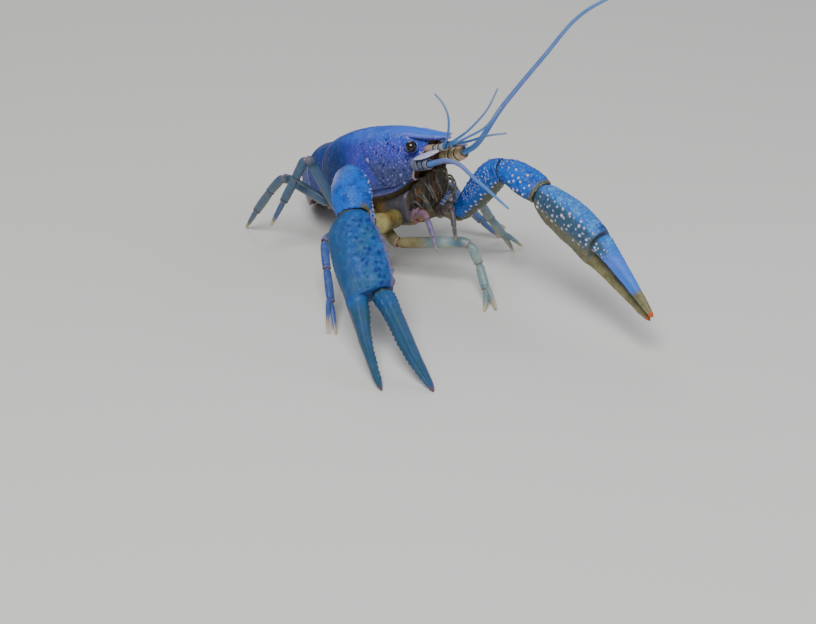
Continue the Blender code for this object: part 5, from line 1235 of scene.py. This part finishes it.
def dactyl(tag, wrist, axes, size):
    """The moving finger: the outline's eased edges, a ridge, pits in rows, and teeth on its cutting edge."""
    stops, outer, inner, thick = np.transpose(DACTYL)
    middle = (outer + inner) / 2
    half = (inner - outer) / 2
    y = spaced((19.85, 21.2, 43.0, 43.9), (16, 128, 12))[:, None]
    turns = around(120)
    narrow = (1 - 0.22 * bell(y - 19.85, 0.6)) * np.sqrt(np.clip((43.95 - y) / 0.8, 0.05, 1))
    local = claw_outline(HINGE_Y + (y - HINGE_Y) * FINGER_REACH[tag], eased(y, stops, middle),
                         eased(y, stops, half) * narrow, eased(y, stops, thick) * narrow, turns, CLOSING[tag])
    if tag == "L":
        # The back of the left finger is flatter.
        local[..., 2] *= np.where(local[..., 2] > 0, 0.72, 1.0)
    local[..., 2] += bowed(local[..., 1], BOW[tag])
    at, turn = strewn(7, 14, 0.8, 103, (20.6, 27.6))
    scales = bumps(local, at, turn, 0.5, 1 - 0.8 * (at - 20.6) / 7.0, 1.3, y)
    at = np.arange(22.2, 41.5, 1.2)
    teeth = bumps(local, at, math.pi, np.where(np.arange(len(at)) == 3, 0.75, 0.48), y=y)
    pits = bumps(local, *strewn(30, 9, 0.8, 102, (8, len(y) - 12)), 0.26)
    local = raised(local, 0.07 * waves(local, 3.5, 101) + 0.24 * finger_ridge(turns, -0.05) - 0.07 * pits
                   + 0.25 * scales + 0.28 * teeth)
    rings = local * size @ axes + wrist
    far = step(22.0, 27.0, y)
    if tag == "R":
        # The finger sinks evenly to its tip, so that this rests on the floor.
        last = claw_outline(y[-1:], middle[-1:], half[-1:], thick[-1:], around(12)) * size @ axes + wrist
        part = np.clip((np.interp(y, stops, np.arange(len(stops))) - 1) / (len(stops) - 2), 0, 1)
        rings[..., 2] -= (last[..., 2].min() + 0.12) * part
        zones = {"finger": 0.35 + 0.45 * far, "belly": 0.8 * step(0.2, 0.8, -np.sin(turns)), "knob": 0.0,
                 "edge": 0.55 * bell(np.cos(turns) - 1, 0.15) * far, "tip": 0.25 * step(42.4, 43.6, y)}
    else:
        low_side = step(-0.3, -0.8, signed(turns))
        zones = {"pale": 0.9 * (1 - 0.6 * far) * (1 - 0.6 * low_side), "belly": 0.7 * (1 - far) * low_side,
                 "violet": 0.7 * far * (1 - step(35.0, 37.5, y)), "dark": 0.5 * bell(y - 20.3, 0.5),
                 "olive": 0.95 * step(35.5, 37.5, y), "knob": 0.9 * step(0.35, 0.75, scales) * low_side,
                 "tip": 0.9 * step(42.2, 43.2, y)}
    zones["knob"] = np.maximum(zones["knob"], 0.45 * step(0.45, 0.9, teeth))
    zones["joint"] = bell(y - 19.85, 0.45)
    put("dactyl_shell_" + tag, [(floor_flat(rings), zones)], CLAW_CHITIN, "dactyl_" + tag)


def walking_legs():
    """Each leg in five shells, with a small fixed finger beside the last one on the front two pairs."""
    for name, joints in LEGS.items():
        joints = np.array(joints)
        path, marks = path_through(joints, (0.9, 1.6, 2.4, 1.2, 1.2), 8)
        knee = lengths(path)[marks[3]]
        bend = unit(np.cross(joints[3] - joints[2], joints[5] - joints[3]))
        blue, dark = LEG_TINT[name]
        for place, shells, start, end in (("upper", UPPER_SHELLS, 0.0, knee),
                                          ("lower", LOWER_SHELLS, knee, None)):
            lower = place == "lower"
            grids = []
            for rings, part, joint, along in limb(path, shells, 64, 36, bend, start, end, LEG_FLAT,
                                                  tip=lower):
                tip = lower and along[-1, 0] == 1
                height = 0.035 * waves(rings, 2.2, 111) + 0.02 * waves(rings, 0.8, 112)
                rings = floor_flat(raised(rings, height))
                belly = under(rings)
                # On the second right leg the olive reaches to about the middle of the merus: beyond the leg's
                # olive base it is painted shadow cast by the mouth foot.
                olive_base_and_painted_shadow = 0.9 * step(0.7, 0.5, along) if name == "leg_2_R" else 0.7 * step(0.3, 0.15, along)
                grids.append((rings, {
                    "blue": blue * (1 - 0.6 * belly), "belly": 0.75 * belly, "olive": 0.0 if lower else olive_base_and_painted_shadow,
                    "joint": np.clip(0.55 * joint + 0.35 * bell(1 - part, 0.06), 0, 1),
                    "dark": np.clip(dark + 0.4 * bell(part - 0.9, 0.05) * (not tip), 0, 1),
                    "tip": 0.9 * tip * step(0.55, 1.0, part)}))
            if lower and name in PINCER_LEGS:
                grids.append(pincer_thumb(path, knee, bend, blue))
            put("%s_%s_shells" % (name, place), grids, LEG_CHITIN, "%s_%s" % (name, place))


def pincer_thumb(path, knee, bend, blue):
    """The fixed finger of a small pincer: a tapering bow beside the moving one."""
    (start, _, end), ways = walk(path, knee + (lengths(path)[-1] - knee) * np.array((0.6, 0.74, 1.0)))
    way = ways[1]
    out = unit(np.cross(way, bend))
    out = out * np.sign(out[2])
    reach = np.linalg.norm(end - start)
    line = smooth_path([start - way * 0.6 + out * 0.1, start + way * 0.35 * reach + out * 1.5,
                        start + way * 0.92 * reach + out * 2.9], 10)
    (rings, part, _, _), = limb(line, (THUMB_RADII,), 48, 28, bend, 0.1, tip=True, neck=0.1)
    rings = floor_flat(rings)
    return rings, {"blue": blue, "belly": 0.5 * under(rings), "tip": 0.9 * step(0.55, 1.0, part)}


def abdomen_path():
    """The line of the abdomen in the standing frame."""
    spot = stand(ABDOMEN_START)
    points = [spot]
    for fall, turn in zip(np.radians(ABDOMEN_FALL), np.radians(ABDOMEN_TURN)):
        way = np.array((math.sin(turn) * math.cos(fall), math.cos(turn) * math.cos(fall), math.sin(fall)))
        spot = spot + SOMITE * way
        points.append(spot)
    return np.array(points)


def abdomen():
    """Six overlapping shells with pointed side lobes, then the tail fan."""
    points = abdomen_path()
    path, marks = path_through(points, (2.0,) * 5, 8)
    ends = lengths(path)[marks]
    right = np.array(SOMITE_SECTION)
    closed = np.concatenate([right, right[-2::-1] * (-1, 1)])
    fine = np.linspace(0, len(closed) - 1, 132, endpoint=False)
    across_part, up_part = (eased(fine, np.arange(len(closed)), line) for line in closed.T)
    out = np.abs(across_part)
    back = step(-0.55, -0.2, up_part)
    for i, (start, end) in enumerate(zip(ends, ends[1:])):
        t = np.linspace(-0.16 if i else -0.14, 1.1, 84)[:, None]
        centres, ways = walk(path, np.maximum(start + t[:, 0] * (end - start), 0.0))
        if i == 0:
            centres = np.where(t < 0, points[0] + t * (end - start) * unit(points[1] - points[0]), centres)
        across, up = axes_on(ways, np.array(ABDOMEN_SIDE))
        up = up * np.sign(up[:, 2:])
        lap = eased(t, *zip(*SOMITE_LAP))
        half = np.interp(t, (0, 1), ABDOMEN_HALF[i:i + 2]) * lap
        tall = np.interp(t, (0, 1), ABDOMEN_TALL[i:i + 2]) * lap
        rings = (centres[:, None] + (across_part * half)[..., None] * across[:, None]
                 + (up_part * tall)[..., None] * up[:, None])
        line = bell(t - 0.24, 0.035)
        pits = bumps(rings, *strewn(9, 30, 0.9, 130 + i, (20, 75), (-0.31 * TURN, 0.31 * TURN)), 0.3)
        rings = raised(rings, 0.06 * waves(rings, 3.5, 121 + i) - 0.16 * line * back
                       + 0.12 * bell(t - 0.97, 0.05) * back - 0.05 * pits)
        rings[..., 2] = np.maximum(rings[..., 2], 0.3)
        zones = {"side": 0.7 * step(0.75, 0.98, out), "speck": 0.6 * step(0.5, 0.9, out),
                 "dark": 0.6 * line * back + 0.5 * (1 - step(-0.05, 0.12, t)),
                 "edge": np.clip(0.7 * bell(t - 1.04, 0.05) + 0.5 * step(-0.6, -0.82, up_part), 0, 1),
                 "belly": step(-0.5, -0.56, up_part) * step(0.86, 0.7, out)}
        put("abdomen_shell_%d" % (i + 1), [(rings, zones)], TAIL_CHITIN, "abdomen_%d" % (i + 1))
        if i in SWIMMERET_LENGTH:
            k = np.argmin(np.abs(t - 0.7))
            swimmerets(i, centres[k], ways[k], across[k], up[k], half[k], tall[k])
    tail_fan(path[-1], unit(path[-1] - path[-2]))


def swimmerets(i, centre, way, across, up, half, tall):
    """A pair of two-bladed swimmerets, whose long and short blades taper to their ends."""
    sweep = unit(0.8 * way - 0.6 * up) * SWIMMERET_LENGTH[i]
    grids = []
    for hand, _ in SIDES:
        root = centre + hand * 0.42 * half * across - (0.52 * tall - 0.5) * up
        for share_of, aside, wide in ((1.0, 0.25, 0.85), (0.8, -0.45, 0.7)):
            path = smooth_path([root, root + sweep * 0.5 * share_of + across * hand * aside,
                                root + sweep * share_of + across * hand * aside * 0.6], 8)
            path[:, 2] = np.maximum(path[:, 2], SWIMMERET_LOW)
            radii = ((0, 0.5), (0.2, 0.55), (0.5, wide), (0.85, 0.6 * wide), (1.0, 0.2))
            (rings, part, _, _), = limb(path, (radii,), 30, 20, across, 0.1, deep=0.4, tip=True)
            grids.append((floor_flat(rings), {"belly": 0.8, "edge": 0.5 * step(0.6, 1.0, part)}))
    put("swimmerets_%d" % (i + 1), grids, TAIL_CHITIN, "abdomen_%d" % (i + 1))


def tail_fan(end, way):
    """Telson and four uropods: thin plates with a middle ridge, side furrows, a cross seam and a fringe."""
    level = unit(way * (1, 1, 0))
    left = np.array((level[1], -level[0], 0.0))
    turns = around(96)
    sine = np.sin(turns)
    cosine = np.cos(turns)
    off = np.abs(cosine)
    top = step(0.0, 0.3, sine)
    t = np.linspace(0, 1, 110)[:, None]
    for name, (angle, shift, height, length, rise) in TAIL_FAN.items():
        c = math.cos(math.radians(angle))
        s = math.sin(math.radians(angle))
        out = level * c + left * s
        start = (*end[:2], height + FAN_HALF_THICK) + left * shift + level * 0.75
        half = eased(t, *zip(*(TELSON_HALF if name == "telson" else UROPOD_HALF))) - 0.12
        fall = np.clip(1 - t / 0.3, 0, 1) ** 1.6
        seam = (0.63 if name == "telson" else 0.74) + 0.02 * np.cos(cosine * 14)
        relief = (FAN_RIDGE * bell(cosine, 0.16) * (1 - t)
                  + 0.04 * np.cos(cosine * half * 9) * step(0.74, 0.82, t) * top
                  + 0.1 * bell(off - 0.55, 0.08) * step(0.12, 0.3, t) * (1 - step(0.8, 1.0, t))
                  - 0.14 * bell(t - seam, 0.012) * ("inner" not in name))
        tall = (FAN_HALF_THICK + 0.25 * fall) * squared(sine, 0.6) + top * relief + rise * fall
        rings = (start + out * length * 0.965 * t[..., None]
                 + (half * cosine)[..., None] * (left * c - level * s)
                 + tall[..., None] * (0, 0, 1))
        zones = {"edge": np.clip(0.75 * step(0.86, 1.0, t) + 0.6 * step(0.9, 1.0, off), 0, 1),
                 "dark": np.clip(0.5 * bell(t - seam, 0.02) + 0.35 * bell(off - 0.25, 0.1), 0, 1) * top,
                 "belly": step(0.0, -0.3, sine), "speck": 0.7 * top}
        put(name + "_plate", [(rings, zones)], TAIL_CHITIN, name)
        tail_fringe(name, rings, out)


def tail_fringe(name, rings, out):
    """A fringe of flat bristles round the far edge of a plate, each a narrow blade."""
    far = 84
    centre = rings[far:].mean(axis=(0, 1))
    spots = [(root, unit(root - centre) * (0.3, 0.3, 0) + out) for turn in (0.0, 0.5)
             for root in grid_spots(rings, np.linspace(far, 109, 15), turn)[0]]
    across = np.arccos(np.linspace(-0.9, 0.9, 9)) / TURN
    spots += [(root, out) for root in rings[-1][(across * rings.shape[1]).astype(int)]]
    blades = [(thorn(root, way, 0.11, 0.4, count=4), {}) for root, way in spots]
    put(name + "_fringe", blades, BRISTLE_HORN, name)


carapace()
rostrum()
carapace_thorns()
eyes()
feeler_bases()
whips()
sternum()
mouth()
maxillipeds()
for letter in "RL":
    wrist_of = claw_arm(letter)
    dactyl(letter, wrist_of, *palm(letter, wrist_of))
walking_legs()
abdomen()

# The camera stands off the right of the head. It looks down 27 degrees along the line that was fitted to the
# photograph, and keeps the point between the eyes where it lies there.
CAMERA_TURN = math.radians(-36.9)
CAMERA_FALL = math.radians(27.0)
CAMERA_FAR = 450.0
EYES_RIGHT = 4.05
EYES_UP = 40.6
SENSOR = 36.0
LENS = 83.4
# The floor's width and the point that the lights aim at, in metres.
FLOOR_SIZE = 6.0
LIGHTS_AIM = (0.0, 0.0, 0.02)


def placed(made, right, up, back, spot):
    """Turns an object until its own axes lie along right, up and back, and sets it at its spot in metres."""
    turned = np.eye(4)
    turned[:3] = np.transpose((right, up, back, spot))
    made.matrix_world = turned.T.tolist()


def camera():
    """A camera at the photograph's angle: object to camera is back, and right and up are its own axes."""
    c = math.cos(CAMERA_TURN)
    s = math.sin(CAMERA_TURN)
    right = np.array((c, s, 0.0))
    back = np.array((s * math.cos(CAMERA_FALL), -c * math.cos(CAMERA_FALL), math.sin(CAMERA_FALL)))
    up = np.cross(back, right)
    spot = np.array((0, 0, EYE_HEIGHT)) - (EYES_RIGHT * right + EYES_UP * up) + CAMERA_FAR * back + SHIFT
    data = bpy.data.cameras.new("photograph_view")
    data.sensor_width = SENSOR
    data.lens = LENS
    data.clip_start = 0.01
    made = linked("photograph_view", data)
    placed(made, right, up, back, spot * MM)
    bpy.context.scene.camera = made


def soft_light(name, spot, size, power, colour):
    """A square soft box at a place in metres, turned to the animal."""
    data = bpy.data.lights.new(name, "AREA")
    data.size = size
    data.energy = power
    data.color = linear(colour)[:3]
    back = unit(np.subtract(spot, LIGHTS_AIM))
    right = unit(np.cross((0.0, 0.0, 1.0), back))
    placed(linked(name, data), right, np.cross(back, right), back, spot)


def studio():
    """A wide pale floor, a pale sky and three soft boxes, the strongest above and left of the camera."""
    data = bpy.data.meshes.new("studio_floor")
    r = FLOOR_SIZE / 2
    data.from_pydata([(-r, -r, 0), (r, -r, 0), (r, r, 0), (-r, r, 0)], [], [(0, 1, 2, 3)])
    paper = bpy.data.materials.new("matt studio paper")
    paper.use_nodes = True
    surface = paper.node_tree.nodes["Principled BSDF"].inputs
    surface["Base Color"].default_value = linear("#ebe9e5")
    surface["Roughness"].default_value = 0.9
    data.materials.append(paper)
    linked("studio_floor", data)
    world = bpy.data.worlds.new("studio_sky")
    bpy.context.scene.world = world
    world.use_nodes = True
    sky = world.node_tree.nodes["Background"].inputs
    sky["Color"].default_value = linear("#e9edf2")
    sky["Strength"].default_value = 0.2
    soft_light("key", (-0.34, -0.34, 0.64), 0.32, 5.2, "#ffffff")
    soft_light("fill", (0.5, -0.5, 0.35), 0.5, 1.3, "#eef3ff")
    soft_light("rim", (0.2, 0.55, 0.5), 0.4, 1.0, "#ffffff")


camera()
studio()
